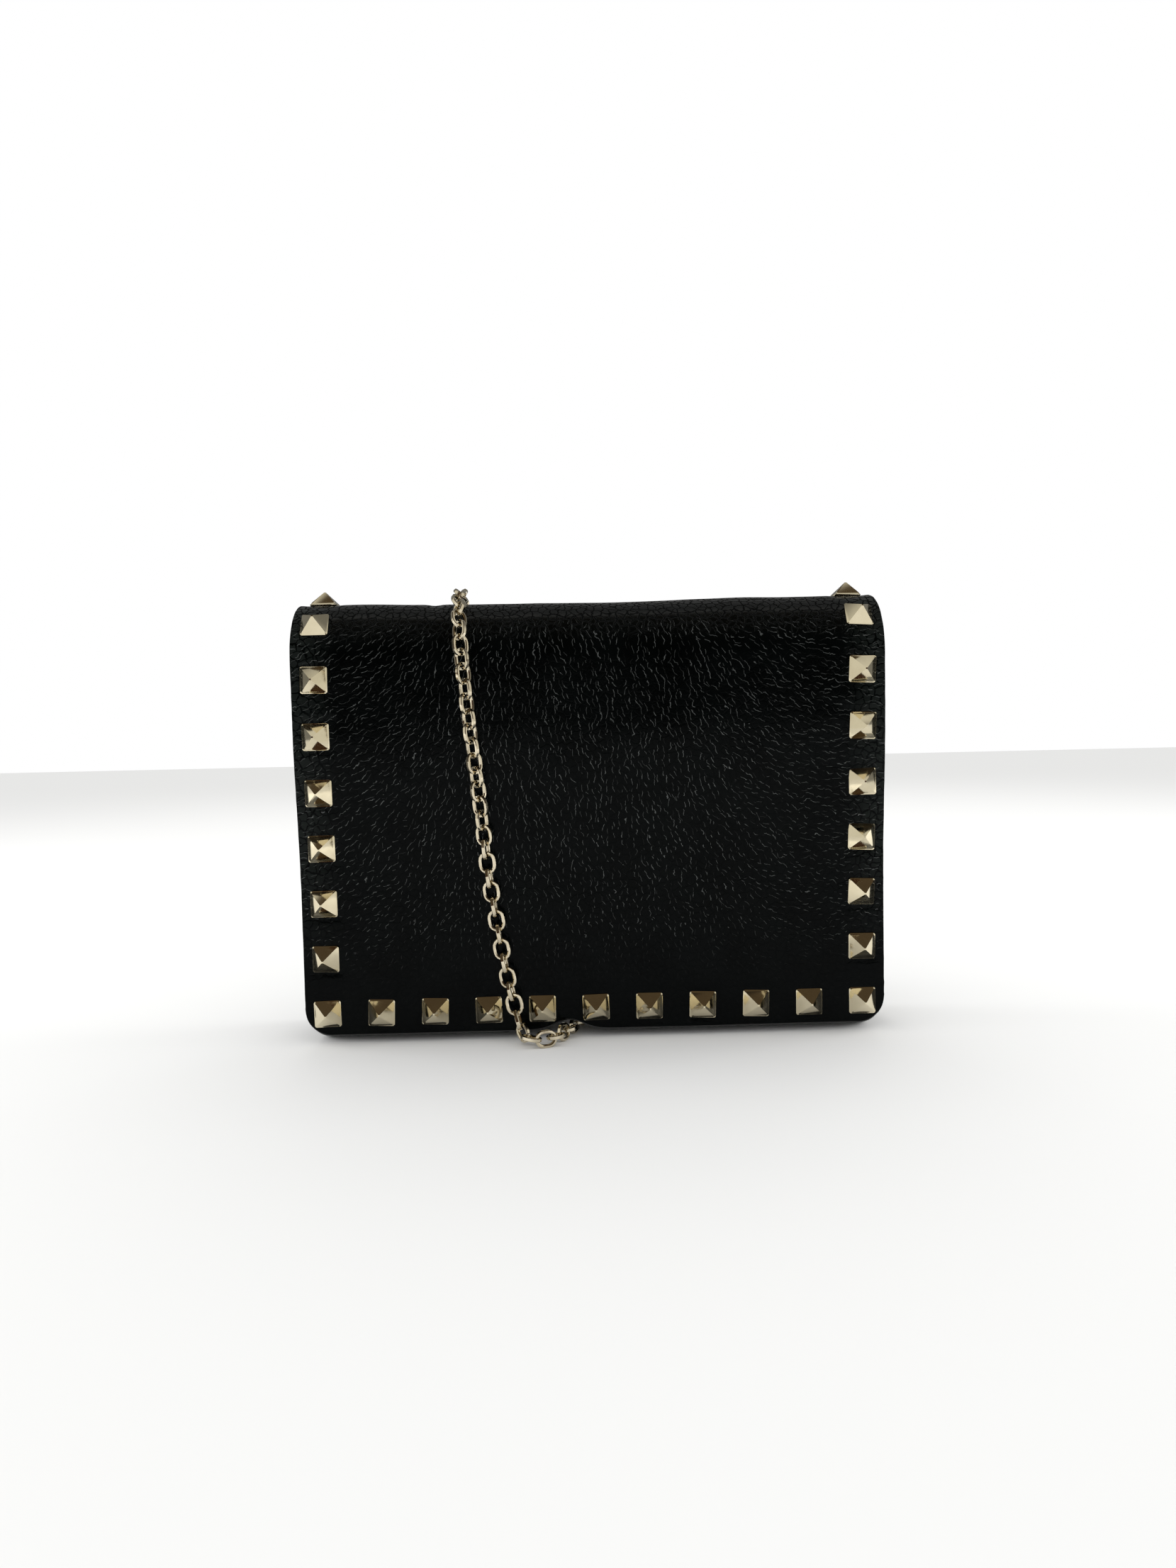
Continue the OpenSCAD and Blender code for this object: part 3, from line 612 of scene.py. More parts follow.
def hank_way():
    """Clockwise from the left end: level along the back, and up a diameter by way of the front."""
    points = []
    ends = HANK_X, HANK_X + HANK_RUN
    for layer in range(HANK_LAYERS):
        z = CHAIN_D / 2 + layer * CHAIN_D + TIE_T * min(1, layer + 0.5)
        turn = [(ends[0], math.radians(180 - 15 * k), 0.0) for k in range(6)]
        turn += [(ends[0] + HANK_RUN * k / 6, math.pi / 2, 0.0) for k in range(7)]
        if layer < HANK_LAYERS - 1:
            turn += [(ends[1], math.radians(90 - 15 * k), k / 36) for k in range(1, 13)]
            turn += [(ends[1] - HANK_RUN * k / 6, -math.pi / 2, (12 + k * 3) / 36) for k in range(1, 7)]
            turn += [(ends[0], math.radians(-90 - 15 * k), (30 + k) / 36) for k in range(1, 6)]
        points += [(x + HANK_R * math.cos(a), HANK_Y + HANK_R * math.sin(a), z + share * CHAIN_D)
                   for x, a, share in turn]
    return points


def smooth_way(points, spacing=0.5 * MM):
    """A smooth line through the points, as closely and evenly spaced points."""
    p = np.array(points, float)
    p = np.vstack([2 * p[0] - p[1], p, 2 * p[-1] - p[-2]])
    line = []
    for a, b, c, d in zip(p, p[1:], p[2:], p[3:]):
        u = np.linspace(0, 1, 16, endpoint=False)[:, None]
        chord = [max(np.linalg.norm(q - r), 1e-9) ** 0.5 for q, r in ((b, a), (c, b), (d, c))]
        m0 = (c - b) + chord[1] * ((b - a) / chord[0] - (c - a) / (chord[0] + chord[1]))
        m1 = (c - b) + chord[1] * ((d - c) / chord[2] - (d - b) / (chord[1] + chord[2]))
        line.append((2 * u**3 - 3 * u**2 + 1) * b + (u**3 - 2 * u**2 + u) * m0
                    + (-2 * u**3 + 3 * u**2) * c + (u**3 - u**2) * m1)
    line = np.vstack([*line, p[-2][None]])
    run = run_along(line)
    at = np.linspace(0, run[-1], int(run[-1] / spacing) + 1)
    return np.stack([np.interp(at, run, line[:, k]) for k in range(3)], -1), at


def link_mesh():
    """One link, long way along X: an oval of wire whose outer side is flat."""
    bend_r = CHAIN_D / 2 - LINK_WIRE
    straight = LINK_LENGTH / 2 - CHAIN_D / 2
    # The wire's section: outwards from its middle line, and along the link's thickness
    section = [(0.60, -0.42), (0.60, 0.42), (0.42, 0.60), (-0.05, 0.64), (-0.40, 0.42), (-0.50, 0.0),
               (-0.40, -0.42), (-0.05, -0.64), (0.42, -0.60)]
    verts, faces = [], []
    for side, from_angle in ((1, -90), (-1, 90)):
        for k in range(LINK_STEPS + 1):
            t = math.radians(from_angle + 180 * k / LINK_STEPS)
            bend = Vector((bend_r * math.cos(t), bend_r * math.sin(t), 0))
            centre, out = bend + Vector((side * straight, 0, 0)), bend.normalized()
            verts += [centre + out * r * MM + Vector((0, 0, b * MM)) for r, b in section]
    count, around = 2 * (LINK_STEPS + 1), len(section)
    for i in range(count):
        for j in range(around):
            a, b = i * around + j, i * around + (j + 1) % around
            c, d = (i + 1) % count * around + (j + 1) % around, (i + 1) % count * around + j
            faces.append((a, d, c, b))
    return np.array(verts), faces


def make_chain(rng):
    """All the links along one smooth way, shared out to the pieces by stretch."""
    ring_low, ring_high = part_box("d_ring_left")[0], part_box("d_ring_right")[1]
    first = (ring_low.x + RING_WIRE / 2, RING_Y, ring_low.z + RING_WIRE / 2)
    last = (ring_high.x - RING_WIRE / 2, RING_Y, ring_low.z + RING_WIRE / 2)
    stretches = [
        ("chain_links_back", [first] + CHAIN_BACK_WAY),
        ("chain_links_over", CHAIN_OVER_WAY[:-1]),
        ("chain_links_drape", CHAIN_DRAPE_WAY[:-1]),
        ("chain_links_floor", CHAIN_FLOOR_WAY),
        ("chain_links_hank", hank_way()),
        ("chain_links_rise", CHAIN_RISE_WAY + [last]),
    ]
    whole = [(x, y, z - SETTLE * float(smoothstep((z - SETTLE_FROM) / SETTLE_OVER)))
             for _, points in stretches for x, y, z in points]
    line, run = smooth_way(whole)
    starts = [np.array(points[0]) for _, points in stretches[1:]]
    marks = [run[np.argmin(np.linalg.norm(line - start, axis=1))] for start in starts]
    marks = [0.0] + marks + [run[-1]]

    tangent = np.gradient(line, axis=0)
    tangent /= np.linalg.norm(tangent, axis=1, keepdims=True)
    side = np.zeros_like(line)
    side[0] = (0, 1, 0)
    for k in range(1, len(line)):
        s = side[k - 1] - tangent[k] * (side[k - 1] @ tangent[k])
        side[k] = s / np.linalg.norm(s)
    middle = np.argmin(np.linalg.norm(line - np.array(CHAIN_DRAPE_WAY[FACING_POINT]), axis=1))
    facing = np.array((0, -1, 0)) - tangent[middle] * -tangent[middle][1]
    cross = np.cross(tangent[middle], side[middle])
    turn0 = math.atan2(facing @ cross, facing @ side[middle])

    count = int(round((run[-1] - LINK_PITCH) / LINK_PITCH))
    pitch = (run[-1] - LINK_PITCH) / count
    places = {name: [] for name, _ in stretches}
    for i in range(count + 1):
        at = LINK_PITCH / 2 + i * pitch
        k = min(np.searchsorted(run, at), len(run) - 1)
        name = stretches[max(j for j in range(len(stretches)) if marks[j] <= at)][0]
        flat = smoothstep((FLAT_FROM - line[k][2]) / FLAT_OVER) if name == "chain_links_drape" else 0.0
        phase = math.radians(LINK_TURN - (LINK_TURN - FLAT_TURN) * float(flat)) + turn0
        phase += (i % 2) * math.pi / 2 + math.radians(rng.uniform(-LINK_PLAY, LINK_PLAY))
        t = tangent[k]
        s = side[k] * math.cos(phase) + np.cross(t, side[k]) * math.sin(phase)
        places[name].append((np.stack([t, s, np.cross(t, s)], -1), line[k]))
    made = []
    for (name, _), low, high in zip(stretches, marks, marks[1:]):
        piece = make_piece(name, *copies(*link_mesh(), places[name]), [CHAIN_MAT], smooth_angle=32)
        on = (run >= low) & (run <= high)
        made.append((piece, line[on], high - low))
    return made


def make_tie():
    """A ribbon wound once round both runs of the hank, with its end tucked over its start."""
    half_y = HANK_R + CHAIN_D / 2 + TIE_T
    top = TIE_T * 2 + HANK_LAYERS * CHAIN_D
    upper_r, lower_r, dip = 2.2 * MM, 1.2 * MM, 0.9 * MM
    path = []
    for cy, cz, start in ((1, 1, 0), (-1, 1, 90), (-1, -1, 180), (1, -1, 270)):
        r = upper_r if cz > 0 else lower_r
        y0 = cy * (half_y - r)
        z0 = top - r if cz > 0 else r
        for k in range(7):
            t = math.radians(start + 15 * k)
            path.append((y0 + r * math.cos(t), z0 + r * math.sin(t)))
        if cz > 0 and cy > 0:
            path += [(y, top - dip * math.sin(math.pi * (y - half_y + r) / (2 * r - 2 * half_y)) ** 2)
                     for y in even(half_y - r, r - half_y, 2 * MM)[1:-1]]
    path = np.array(path + [(half_y + 0.15 * MM, 3 * MM), (half_y + 0.45 * MM, 9 * MM)])
    run = run_along(path)
    columns = np.linspace(-TIE_W / 2, TIE_W / 2, 9)
    x = np.tile(columns, (len(path), 1)) + 0.12 * MM * np.sin(run[:, None] / (5 * MM))
    grid = np.stack(np.broadcast_arrays(x + TIE_X, path[:, :1] + HANK_Y, path[:, 1:]), -1)
    uv = np.stack(np.broadcast_arrays(x, run[:, None]), -1) / MM
    piece = shell("hank_tie", grid, 0.4 * MM, uv, [RIBBON_MAT] * 3)
    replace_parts(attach(piece, "body"), "chain_tie")
    return piece


rng = random.Random(SEED)
chain = make_chain(rng)
LIFT_BLEND = ((0, 0.01975, 0.1294), (0, 0.0095, 0.1436))
UNFOLD_BLEND = ((0, 0.00117, 0.1441), (0, -0.0083, 0.1396))
# Spans for the chain's ends at the D-rings; below they only mark pieces whose placing is baked in
LEFT_RING_BLEND = ((0, 0.0226, 0), (0, 0.0070, 0))
RIGHT_RING_BLEND = ((0, 0, 0.050), (0, 0, 0.1090))
chain_rides = {
    "chain_links_back": (("body", "ring_left"), LEFT_RING_BLEND, ["chain_back"]),
    "chain_links_over": (("body", "flap_top"), LIFT_BLEND, ["chain_over"]),
    "chain_links_drape": (("flap_top", "flap_front"), UNFOLD_BLEND, ["chain_drape"]),
    "chain_links_floor": (("body",), None, ["chain_floor"]),
    "chain_links_hank": (("body",), None, ["chain_hank"]),
    "chain_links_rise": (("body", "ring_right"), RIGHT_RING_BLEND, ["chain_rise"]),
}
hank_tie = make_tie()
for piece, path, length in chain:
    bodies, stretch, replaced = chain_rides[piece.name]
    if stretch:
        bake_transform(piece)
    else:
        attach(piece, bodies[0])
    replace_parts(piece, *replaced)

make_studs("studs_front_caps", FRONT_STUDS, "studs_front", "flap_front", rng)
make_studs("studs_top_caps", TOP_STUDS, "studs_top", "flap_top", rng)


# ---------------- leather of the flap and the back
NOTCH_X, NOTCH_HALF, NOTCH_RISE = -9 * MM, 11 * MM, 3.4 * MM


def columns_of(half, spacing=1.2 * MM, edge=CORNER_R):
    """Places across the hide, closer together towards its edges."""
    middle = even(-half + edge, half - edge, spacing)
    t = np.radians(np.linspace(0, 90, 13))[1:]
    right = half - edge + edge * np.sin(t)
    return np.concatenate([-right[::-1], middle, right])


def edge_height(x):
    """Height of the flap's lower edge: round corners, and a lift over the chain."""
    over = np.maximum(np.abs(x) - (HALF_W - CORNER_R), 0)
    corner = CORNER_R - np.sqrt(np.maximum(CORNER_R**2 - over**2, 0))
    lift = NOTCH_RISE * np.exp(-((x - NOTCH_X) / (NOTCH_HALF / 1.7)) ** 2)
    return FLAP_FOOT + corner + lift


def half_width(along):
    """The hide narrows a little from the flap to the body over the back of the fold."""
    t = smoothstep((along - CREST_AT) / (FOLD_TO - CREST_AT))
    return HALF_W - (HALF_W - BODY_HALF) * t


def waves(x, along, size, seed):
    """Smooth random heights of about -1 to 1, size metres from crest to crest."""
    flat = [noise.noise(Vector((a / size, b / size, seed))) for a, b in zip(x.ravel(), along.ravel())]
    return np.array(flat).reshape(x.shape)


def relief(x, along):
    """How far the hide stands out of its plain shape."""
    height = 0.32 * MM * waves(x, along, 34 * MM, 1.5) + 0.16 * MM * waves(x, along * 0.8, 13 * MM, 5.5)
    near_side = smoothstep((np.abs(x) - 66 * MM) / (24 * MM))
    height += 0.16 * MM * near_side * waves(x * 0.35, along, 4.2 * MM, 9.5)
    crest = np.exp(-((along - CREST_AT) / (16 * MM)) ** 2)
    height -= crest * 0.75 * MM * np.cos(np.clip(x / HALF_W, -1, 1) * math.pi / 2) ** 2
    crease = np.exp(-((x + 51 * MM + 0.15 * (along - CREST_AT)) / (2.2 * MM)) ** 2)
    height -= 0.5 * MM * crease * np.exp(-((along - CREST_AT + 6 * MM) / (9 * MM)) ** 2)
    for sx, sp in FRONT_STUDS + TOP_STUDS:
        away = np.maximum(np.abs(x - sx), np.abs(along - sp)) - STUD_HALF
        on = 1 - smoothstep(away / (1.2 * MM))
        height = height * (1 - on) - 0.12 * MM * on
        height -= 0.16 * MM * np.exp(-((away - 0.9 * MM) / (1.1 * MM)) ** 2) * (away > -0.5 * MM)
    return height


def hide_sheet(name, x, along, outside, open_side, replaced):
    """A layer of the flap or the back, bent across a hinge line: the leather outside or its lining inside."""
    x = x * (half_width(along) / HALF_W)
    y, z, ny, nz = side_view(along)
    h = relief(x, along) - (0.0 if outside else LEATHER + LINING)
    grid = np.stack([x, y + ny * h, z + nz * h], -1)
    uv = np.stack([x, along], -1) / MM
    if outside:
        piece = shell(name, grid[:, ::-1], LEATHER, uv[:, ::-1], HIDE, open_side)
    else:
        piece = shell(name, grid, LINING - LINING_GAP, uv, CLOTH, open_side)
    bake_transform(piece)
    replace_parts(piece, *replaced)


def flap_sheet(name, outside, columns, share, foot_gap, replaced):
    x = np.tile(columns, (len(share), 1))
    foot = edge_height(x) + foot_gap
    along = foot + (SPLIT_AT - foot) * share[:, None]
    hide_sheet(name, x, along, outside, "last", replaced)


def back_sheet(name, outside, columns, along, replaced):
    x = np.tile(columns, (len(along), 1))
    along = np.tile(along[:, None], (1, len(columns)))
    hide_sheet(name, x, along, outside, "first", replaced)


columns = columns_of(HALF_W)
share = np.unique(np.concatenate([even(0, 1, 1 / 150.0), [0.997, 0.9985]]))
flap_sheet("flap_hide", True, columns, share, 0.0, ["flap_front_leather"])
down = np.concatenate([[SPLIT_AT, SPLIT_AT + 0.15 * MM, SPLIT_AT + 0.3 * MM],
                       even(SPLIT_AT + 1 * MM, BACK_FOOT, 1.25 * MM)])
back_sheet("back_hide", True, columns, down, ["back_panel", "flap_top_leather"])

columns = columns_of(HALF_W - LINING_INSET, 2.4 * MM, 4 * MM)
flap_sheet("flap_cloth", False, columns, np.linspace(0, 1, 90), LINING_INSET, ["flap_front_lining"])
down = np.concatenate([[SPLIT_AT], even(SPLIT_AT + MM, BACK_FOOT - 3.2 * MM, 2 * MM)])
back_sheet("back_cloth", False, columns, down, ["back_lining", "flap_top_lining"])


# ---------------- walls, pockets and slots
MOUTH_Z = front_high.z
SNAP_Z = sum(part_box("snap_socket")[k].z for k in (0, 1)) / 2
SNAP_HOLE_R = 5 * MM


def wall(name, node, materials, facing, seed, low=None, dip=0.0, spacing=2 * MM, hole_r=0.0):
    """An upright sheet in the place of a CAD wall. facing is -1 for a face to the front and 1 to the back.
    dip lowers the middle of the top edge. The sheet only swells inwards from its face."""
    box_low, box_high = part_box(node)
    low = box_low.z if low is None else low
    high = box_high.z
    swell, dip_half, slim = 0.15 * MM, 11 * MM, 0.04 * MM
    columns = columns_of(box_high.x, spacing, 1.5 * MM)
    share = np.concatenate([[0, 0.006], even(0.02, 0.98, spacing / (high - low)), [0.994, 1]])
    x = np.tile(columns, (len(share), 1))
    top = high - dip * np.exp(-(x / dip_half) ** 4)
    z = low + (top - low) * share[:, None]
    y = box_low.y if facing < 0 else box_high.y
    lump = 0
    for share_of_swell, size, shift in ((1, 26 * MM, 0), (0.3, 8 * MM, 3)):
        lump = lump + share_of_swell * swell * (0.5 - 0.5 * waves(x, z, size, seed + shift))
    grid = np.stack([x, y - facing * lump, z], -1)
    uv = np.stack([x, z], -1) / MM
    if facing < 0:
        grid, uv = grid[:, ::-1], uv[:, ::-1]
    hole = None
    if hole_r:
        middle = (grid[1:, 1:] + grid[:-1, :-1]) / 2
        hole = np.hypot(middle[..., 0], middle[..., 2] - SNAP_Z) < hole_r
    piece = shell(name, grid, box_high.y - box_low.y - slim, uv, materials, hole=hole)
    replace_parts(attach(piece, "body"), node)


wall("front_hide", "front_panel", HIDE, -1, 2.0, low=BASE_TOP - SEAM_LAP, spacing=1.6 * MM,
     hole_r=SNAP_HOLE_R)
wall("front_cloth", "front_lining", CLOTH, 1, 4.0, spacing=1.6 * MM, hole_r=SNAP_HOLE_R)
wall("slip_pocket_sheet", "slip_pocket", INNER, 1, 6.0, dip=4 * MM)
for level, seed in (("upper", 8.0), ("middle", 10.0), ("lower", 12.0)):
    wall(f"card_slot_{level}_sheet", f"card_slot_{level}", INNER, -1, seed, dip=3 * MM)
wall("zip_wall_front", "zip_pocket_front", CLOTH, -1, 14.0)
wall("zip_wall_back", "zip_pocket_back", CLOTH, 1, 16.0)


def swept_sheet(name, node, line, across, thickness, materials, flip=False, axis=1, ripple=0.0,
                seed=0.0):
    """A strip that follows a line of points, with its width along an axis between the two ends of across."""
    line, run = smooth_way(line, 0.8 * MM)
    width = even(across[0], across[1], 2 * MM)
    if len(width) < 5:
        width = np.linspace(across[0], across[1], 5)
    grid = np.tile(line[:, None], (1, len(width), 1))
    grid[..., axis] = width
    uv = np.stack(np.broadcast_arrays(width[None], run[:, None]), -1) / MM
    if ripple:
        lump = waves(np.broadcast_to(run[:, None], grid.shape[:2]), grid[..., axis], 17 * MM, seed)
        grid = grid - normals_of(grid) * (ripple * (0.5 + 0.5 * lump))[..., None] * (-1 if flip else 1)
    if flip:
        grid, uv = grid[:, ::-1], uv[:, ::-1]
    piece = shell(name, grid, thickness, uv, materials)
    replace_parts(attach(piece, "body"), node)


def gusset_sheet(side, node):
    """A side that folds inwards: its front half's plan, and the same mirrored to the back."""
    low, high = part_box(node)
    half = [(91.5, -10.55), (90.0, -10.55), (88.6, -10.5), (87.8, -10.25), (87.2, -9.6), (86.5, -8.5),
            (85.6, -6.8), (85.0, -5.6), (84.7, -4.8), (84.6, -3.6), (84.6, 0.0)]
    middle = (low.y + high.y) / 2 / MM
    plan = half + [(x, -y) for x, y in half[-2::-1]]
    line = way(*[(side * x, y + middle, 0) for x, y in plan])
    swept_sheet(f"{node}_hide", node, line, (low.z, high.z - 0.7 * MM), 1.1 * MM,
                [LEATHER_MAT, EDGE_MAT, LINING_MAT], flip=side < 0, axis=2, ripple=0.12 * MM,
                seed=20.0 + side)


def ring_tab_strip(node):
    """A strip that goes up, round the D-ring's bar and down again."""
    low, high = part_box(node)
    x, z = (low.x + high.x) / 2 / MM, high.z / MM - 2
    half = [(1, -16.2), (1, -12), (1, -7), (1.02, -4), (1.35, -2.1), (1.9, -0.6), (1.85, 0.7), (1.1, 1.65),
            (0, 2)]
    view = [(x - a, z + b) for a, b in half] + [(x + a, z + b) for a, b in half[-2::-1]]
    swept_sheet(f"{node}_strip", node, way(*[(a, 0, b) for a, b in view]), (low.y, high.y), 0.93 * MM,
                [LEATHER_MAT, EDGE_MAT, LEATHER_MAT])


def zip_seam():
    """The strip that joins the zip pocket's two walls, down one side, along the foot and up the other."""
    low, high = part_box("zip_pocket_seam")
    half, foot, head = high.x / MM, low.z / MM, high.z / MM
    side = [(half, head), (half, 60), (half, foot + 6), (half - 0.8, foot + 2.4), (half - 2.4, foot + 0.8),
            (half - 6, foot)]
    view = [(-a, b) for a, b in side] + [(0, foot)] + side[::-1]
    swept_sheet("zip_wall_seam", "zip_pocket_seam", way(*[(a, 0, b) for a, b in view]), (low.y, high.y),
                0.95 * MM, CLOTH, flip=True, ripple=0.1 * MM)


for side, end in ((-1, "left"), (1, "right")):
    gusset_sheet(side, f"gusset_{end}")
    ring_tab_strip(f"ring_tab_{end}")
zip_seam()


def base_hide():
    """The leather trough: round lower edges, round ends, and a low arch pressed up over the chain."""
    low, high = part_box("base_panel")
    edge_r, end_r = 6 * MM, 3.5 * MM
    arch_x, arch_h, arch_half = -4 * MM, 7 * MM, 15 * MM
    arch_r = (arch_half**2 + arch_h**2) / (2 * arch_h)
    y0, y1, top = low.y, high.y, high.z
    middle, span = (y0 + y1) / 2, y1 - y0
    lip = ((1.25, 0.05), (1.25, 1.6), (0.9, 2.1), (0.3, 2.4), (0, 2.9))
    half = [(y0 + a * MM, top - b * MM) for a, b in lip]
    for a in np.radians(range(6, 91, 12)):
        half.append((y0 + edge_r - edge_r * math.cos(a), edge_r - edge_r * math.sin(a)))
    half += [(y, 0.0) for y in even(y0 + edge_r, middle, 1.5 * MM)[1:]]
    ring = np.array(half + [(y0 + y1 - y, z) for y, z in half[-2::-1]])
    columns = columns_of(high.x, 1.2 * MM, end_r)
    over = np.clip((np.abs(columns) - (high.x - end_r)) / end_r, 0, 1)
    inset = end_r * (1 - np.sqrt(1 - over**2)) * 0.8
    inset[[0, -1]] = inset[[1, -2]] + 0.5 * MM
    arch = np.sqrt(np.maximum(arch_r**2 - (columns - arch_x) ** 2, 0)) - (arch_r - arch_h)
    arch = np.where(np.abs(columns - arch_x) < arch_half, arch, 0)
    y = middle + (ring[None, :, 0] - middle) * (1 - 2 * inset[:, None] / span)
    lift = np.maximum(arch, inset * 0.7)[:, None]
    z = lift + ring[None, :, 1] * (top - lift) / top
    x = np.tile(columns[:, None], (1, len(ring)))
    lump = 0.12 * MM * (0.5 + 0.5 * waves(x, y + z, 11 * MM, 31.0))
    y = y + lump * np.sign(middle - y) * (np.abs(y - middle) > span * 0.4)
    z = z + lump * (ring[None, :, 1] < 1 * MM)
    grid = np.stack([x, y, z], -1)
    uv = np.stack([x, np.tile(run_along(ring), (len(columns), 1)) + 0.3], -1) / MM
    rows, across = grid.shape[:2]
    index = np.arange(rows * across).reshape(rows, across)
    follow = np.roll(index, -1, axis=1)
    faces = np.stack([index[:-1], index[1:], follow[1:], follow[:-1]], -1).reshape(-1, 4).tolist()
    # The ends have corners of their own, so that the grain lies flat on them
    ends = grid[[0, -1]]
    caps = rows * across + np.arange(2 * across).reshape(2, across)
    faces += [caps[0].tolist(), caps[1][::-1].tolist()]
    verts = np.concatenate([grid.reshape(-1, 3), ends.reshape(-1, 3)])
    uvs = np.concatenate([uv.reshape(-1, 2), ends.reshape(-1, 3)[:, 1:] / MM])
    piece = make_piece("base_hide", verts, faces, [LEATHER_MAT], uvs=uvs, smooth_angle=40)
    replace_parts(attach(piece, "body"), "base_panel")


base_hide()


# ---------------- zip
def zip_tape(node, side):
    """A tape, with a thick cord along the edge that holds the teeth."""
    low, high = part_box(node)
    inner, outer = (low.y, high.y) if side > 0 else (high.y, low.y)
    share = np.array([0, 0.06, 0.2, 0.34, 0.45, 0.6, 0.8, 1.0])
    rise = np.array([0, 0.16, 0.24, 0.16, 0.0, 0.0, 0.0, 0.0]) * MM
    x = even(low.x, high.x, 2 * MM)
    y, z = inner + (outer - inner) * share, high.z - 0.26 * MM + rise
    grid = np.stack(np.broadcast_arrays(x[None], y[:, None], z[:, None]), -1)
    uv = np.stack([grid[..., 1], grid[..., 0]], -1) / MM
    if side > 0:
        grid, uv = grid[:, ::-1], uv[:, ::-1]
    piece = shell(f"{node}_weave", grid, 0.5 * MM, uv, [TAPE_MAT] * 3)
    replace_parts(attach(piece, "body"), node)


def zip_teeth():
    """Cast teeth, taken in turn from each tape, with a round head and a waist."""
    low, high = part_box("zip_teeth")
    pitch, end_gap, to_side = 1.25 * MM, 0.6 * MM, 0.62 * MM
    half = [(-0.95, -0.50), (-0.20, -0.52), (0.10, -0.34), (0.42, -0.36), (0.72, -0.55), (1.0, -0.50),
            (1.12, -0.2)]
    profile = half + [(a, -b) for a, b in half[::-1]]
    base = []
    for height, shrink in ((-1.0, 0.80), (-0.86, 1.0), (0.86, 1.0), (1.0, 0.80)):
        base += [(b * shrink, a * (1 - (1 - shrink) * 0.4), height) for a, b in profile]
    middle_y, middle_z = (low.y + high.y) / 2, (low.z + high.z) / 2
    places = []
    for i, x in enumerate(even(low.x + end_gap, high.x - end_gap, pitch)):
        side = 1 if i % 2 else -1
        places.append((np.diag((-side, -side, 1)), (x, middle_y + side * to_side, middle_z)))
    verts, faces = copies(np.array(base) * MM, tube_faces(4, len(profile)), places)
    piece = make_piece("zip_teeth_row", verts, faces, [ZIP_MAT], smooth_angle=35)
    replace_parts(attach(piece, "body"), "zip_teeth")


zip_tape("zip_tape_front", -1)
zip_tape("zip_tape_back", 1)
zip_teeth()


# ---------------- stitches
def stitch_line(points, face):
    """Stitches along straight runs of points, as slim capsules on a face that looks the given way."""
    stitch, gap, radius, slant = 2.3 * MM, 0.8 * MM, 0.24 * MM, 0.12 * MM
    # Along the stitch, share of its radius, and how deep it goes in
    rings = [(-1, 0.35, 0.8), (-0.86, 0.85, 0.35), (-0.5, 1, 0)]
    rings += [(-t, r, drop) for t, r, drop in rings[::-1]]
    face = np.array(face, float)
    verts, faces = [], []
    for p, q in zip(points, points[1:]):
        p, q = np.array(p, float), np.array(q, float)
        length = np.linalg.norm(q - p)
        along = (q - p) / length
        across = np.cross(face, along)
        count = max(1, int(length / (stitch + gap)))
        for k in range(count):
            centre = p + (q - p) * (k + 0.5) / count
            faces += tube_faces(len(rings), 6, len(verts))
            for t, r, drop in rings:
                core = centre + along * t * stitch / 2 + across * t * slant - face * drop * radius
                verts += [core + r * radius * (across * math.cos(a) + face * 0.8 * math.sin(a))
                          for a in np.radians(np.arange(0, 360, 60))]
    return verts, faces


def stitches():
    """The sewing of the mouth, the pockets, the slots and the ring tabs."""
    lines = []

    def sew(y, way_out, *points):
        lines.append(([(x, y, z) for x, z in points], (0, way_out, 0)))

    edge, foot, mouth = BODY_HALF - 2.5 * MM, BASE_TOP + 1 * MM, MOUTH_Z - 2.5 * MM
    sew(front_low.y, -1, (-edge, foot), (-edge, mouth), (edge, mouth), (edge, foot))
    sew(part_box("front_lining")[1].y, 1, (-edge, mouth), (edge, mouth))
    low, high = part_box("slip_pocket")
    edge, foot, mouth = high.x - 2 * MM, low.z + 2 * MM, high.z - 1 * MM
    sew(high.y, 1, (-edge, mouth), (-edge, foot), (edge, foot), (edge, mouth))
    for level in ("upper", "middle", "lower"):
        low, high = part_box(f"card_slot_{level}")
        edge = high.x - 2 * MM
        bottom = low.z if level == "lower" else high.z - 11 * MM
        for x in (-edge, -45 * MM, 45 * MM, edge):
            sew(low.y, -1, (x, bottom + 1 * MM), (x, high.z - 1 * MM))
    sew(low.y, -1, (-edge, low.z + 2 * MM), (edge, low.z + 2 * MM))
    for end, way_out in (("front", -1), ("back", 1)):
        low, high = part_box(f"zip_pocket_{end}")
        edge, mouth = high.x - 2 * MM, high.z - 2 * MM
        sew(low.y if way_out < 0 else high.y, way_out, (-edge, mouth), (edge, mouth))
    for end, way_out in (("left", 1), ("right", -1)):
        low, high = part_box(f"ring_tab_{end}")
        x = (low.x + high.x) / 2 + way_out * 1 * MM
        y0, y1, z0, z1 = low.y + 1.1 * MM, high.y - 1.1 * MM, low.z + 1.5 * MM, low.z + 9.5 * MM
        lines.append(([(x, y0, z0), (x, y1, z0), (x, y1, z1), (x, y0, z1), (x, y0, z0)], (way_out, 0, 0)))
    verts, faces = [], []
    for points, face in lines:
        new_verts, new_faces = stitch_line(points, face)
        faces += [[v + len(verts) for v in f] for f in new_faces]
        verts += new_verts
    piece = make_piece("stitches", verts, faces, [THREAD_MAT], smooth_angle=60)
    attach(piece, "body")


stitches()


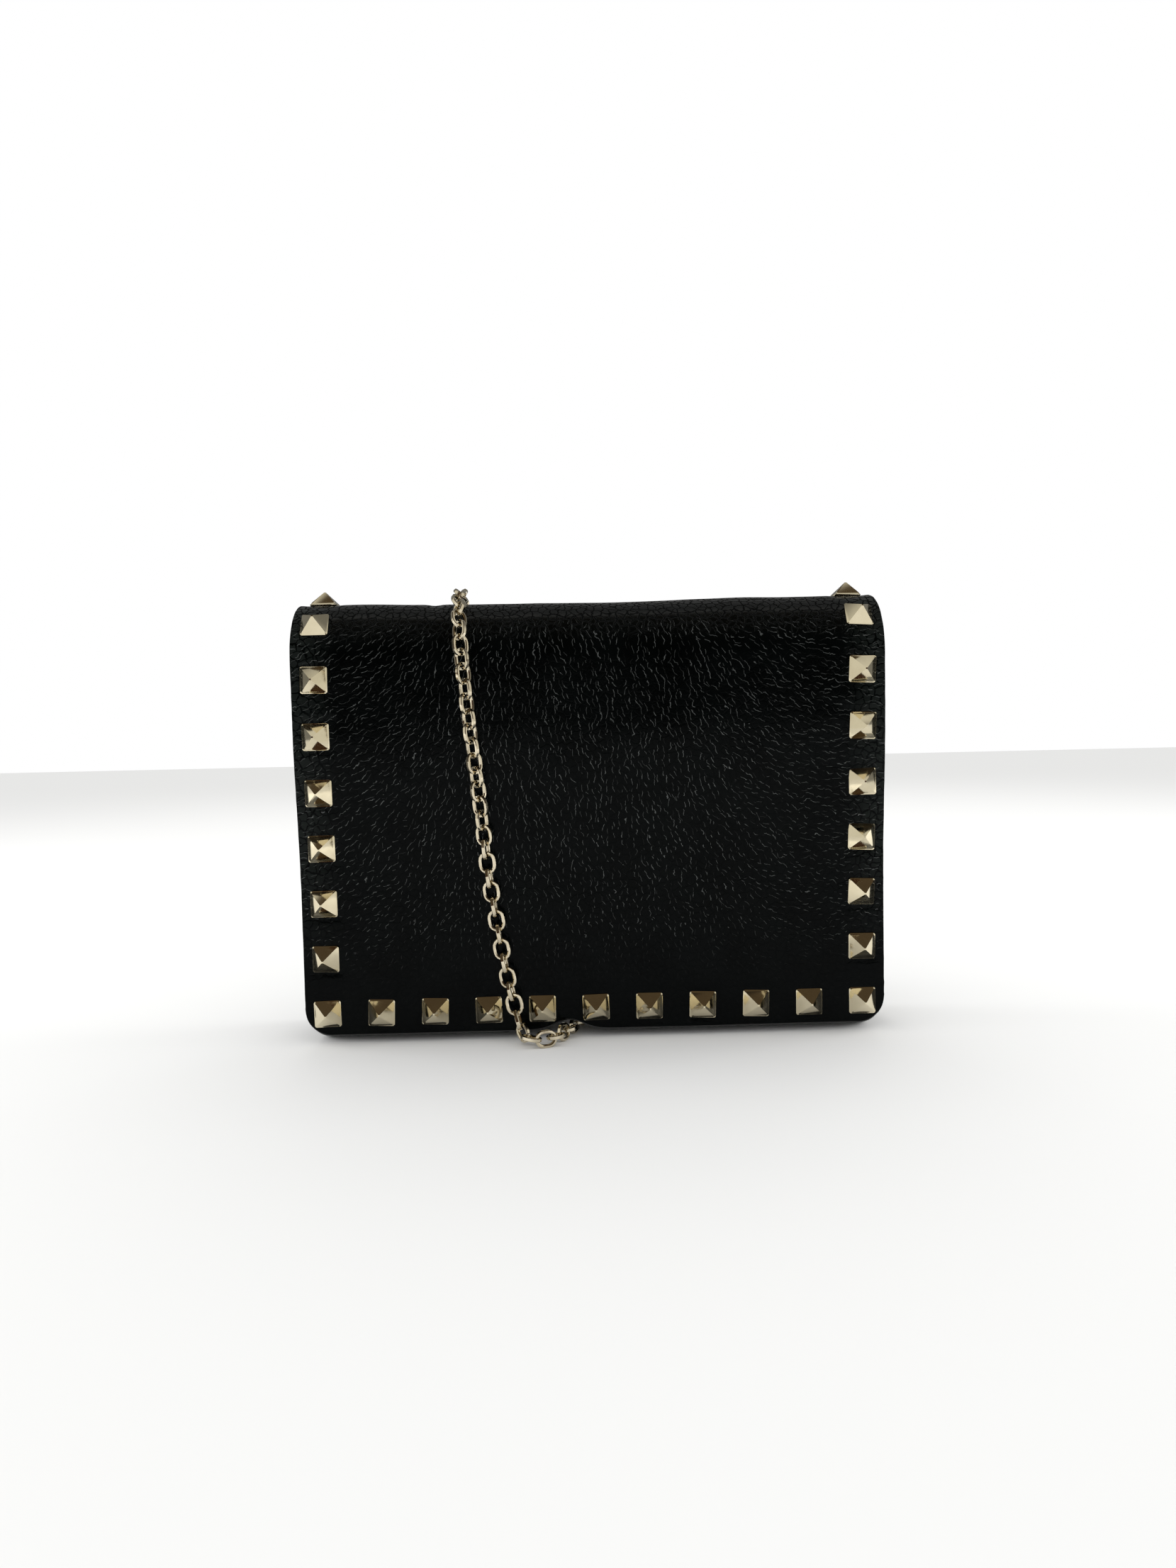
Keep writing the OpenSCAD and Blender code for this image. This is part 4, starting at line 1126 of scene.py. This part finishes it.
# ---------------- CAD metal and board that stay
def dress(node, material, bevel=0.0):
    """A finish for a CAD node, and softened edges where bevel gives their width."""
    piece = nodes[node]
    piece.data.materials.clear()
    piece.data.materials.append(material)
    if bevel:
        edge = piece.modifiers.new("bevel", "BEVEL")
        edge.width = bevel
        edge.segments = 3
        edge.limit_method = "ANGLE"
        edge.angle_limit = math.radians(35)
        edge.harden_normals = True


for node, material, bevel in (
        ("zip_slider", ZIP_MAT, 0.22), ("zip_pull", ZIP_MAT, 0.28), ("zip_stops", ZIP_MAT, 0.22),
        ("d_ring_left", STUD_MAT, 0), ("d_ring_right", STUD_MAT, 0), ("snap_socket", STUD_MAT, 0.2),
        ("snap_post", STUD_MAT, 0.2), ("snap_magnet", MAGNET_MAT, 0.1), ("base_board", BOARD_MAT, 0.2)):
    dress(node, material, bevel * MM)


# ---------------- stage and light
def make_floor():
    half = 3.0
    m = Shader("floor")
    m.set(Base_Color=(0.80, 0.80, 0.79, 1.0), Roughness=0.9, Specular_IOR_Level=0.0)
    verts = [(-half, -half, 0), (half, -half, 0), (half, half, 0), (-half, half, 0)]
    floor = make_piece("floor", verts, [(0, 1, 2, 3)], [m.made])


def make_world():
    """White light all round. Gloss mirrors a pale studio that is dark in front and above, and grey behind."""
    w = Shader("studio", bpy.data.worlds, "Background")
    bpy.context.scene.world = w.made
    x, y, z = w.apart(w.node("ShaderNodeTexCoord").outputs["Generated"])
    dark = w.times(w.ramp(w.math("ABSOLUTE", x), 0.72, 0.50), w.ramp(y, 0.06, 0.00))
    front = w.mix(w.ramp(z, 0.35, 0.05), (0.075, 0.055, 0.034), (0.060, 0.030, 0.022))
    sides = w.mix(w.ramp(y, 0.04, 0.30), (0.76, 0.75, 0.70), (0.20, 0.20, 0.195))
    mirrored = w.node("ShaderNodeLightPath").outputs["Is Glossy Ray"]
    w.to("Color", w.mix(mirrored, (1.0, 1.0, 1.0), w.mix(dark, sides, front)))
    w.set(Strength=1.0)


def make_light(name, place, aim, size, power):
    data = bpy.data.lights.new(name, "AREA")
    data.shape = "RECTANGLE"
    data.size, data.size_y = size
    data.energy = power
    lamp = bpy.data.objects.new(name, data)
    lamp.location = place
    lamp.visible_glossy = False
    lamp.rotation_euler = (Vector(aim) - Vector(place)).to_track_quat("-Z", "Y").to_euler()
    collection.objects.link(lamp)


make_floor()
make_world()
make_light("light_back", (0.1, 0.9, 0.9), (0, 0, 0.08), (1.2, 0.6), 2.0)
for side, end in ((-1, "left"), (1, "right")):
    make_light(f"light_{end}", (side * 0.9, 0.1, 0.45), (0, 0, 0.07), (0.5, 0.8), 3.0)
bpy.context.scene.view_settings.view_transform = "Standard"
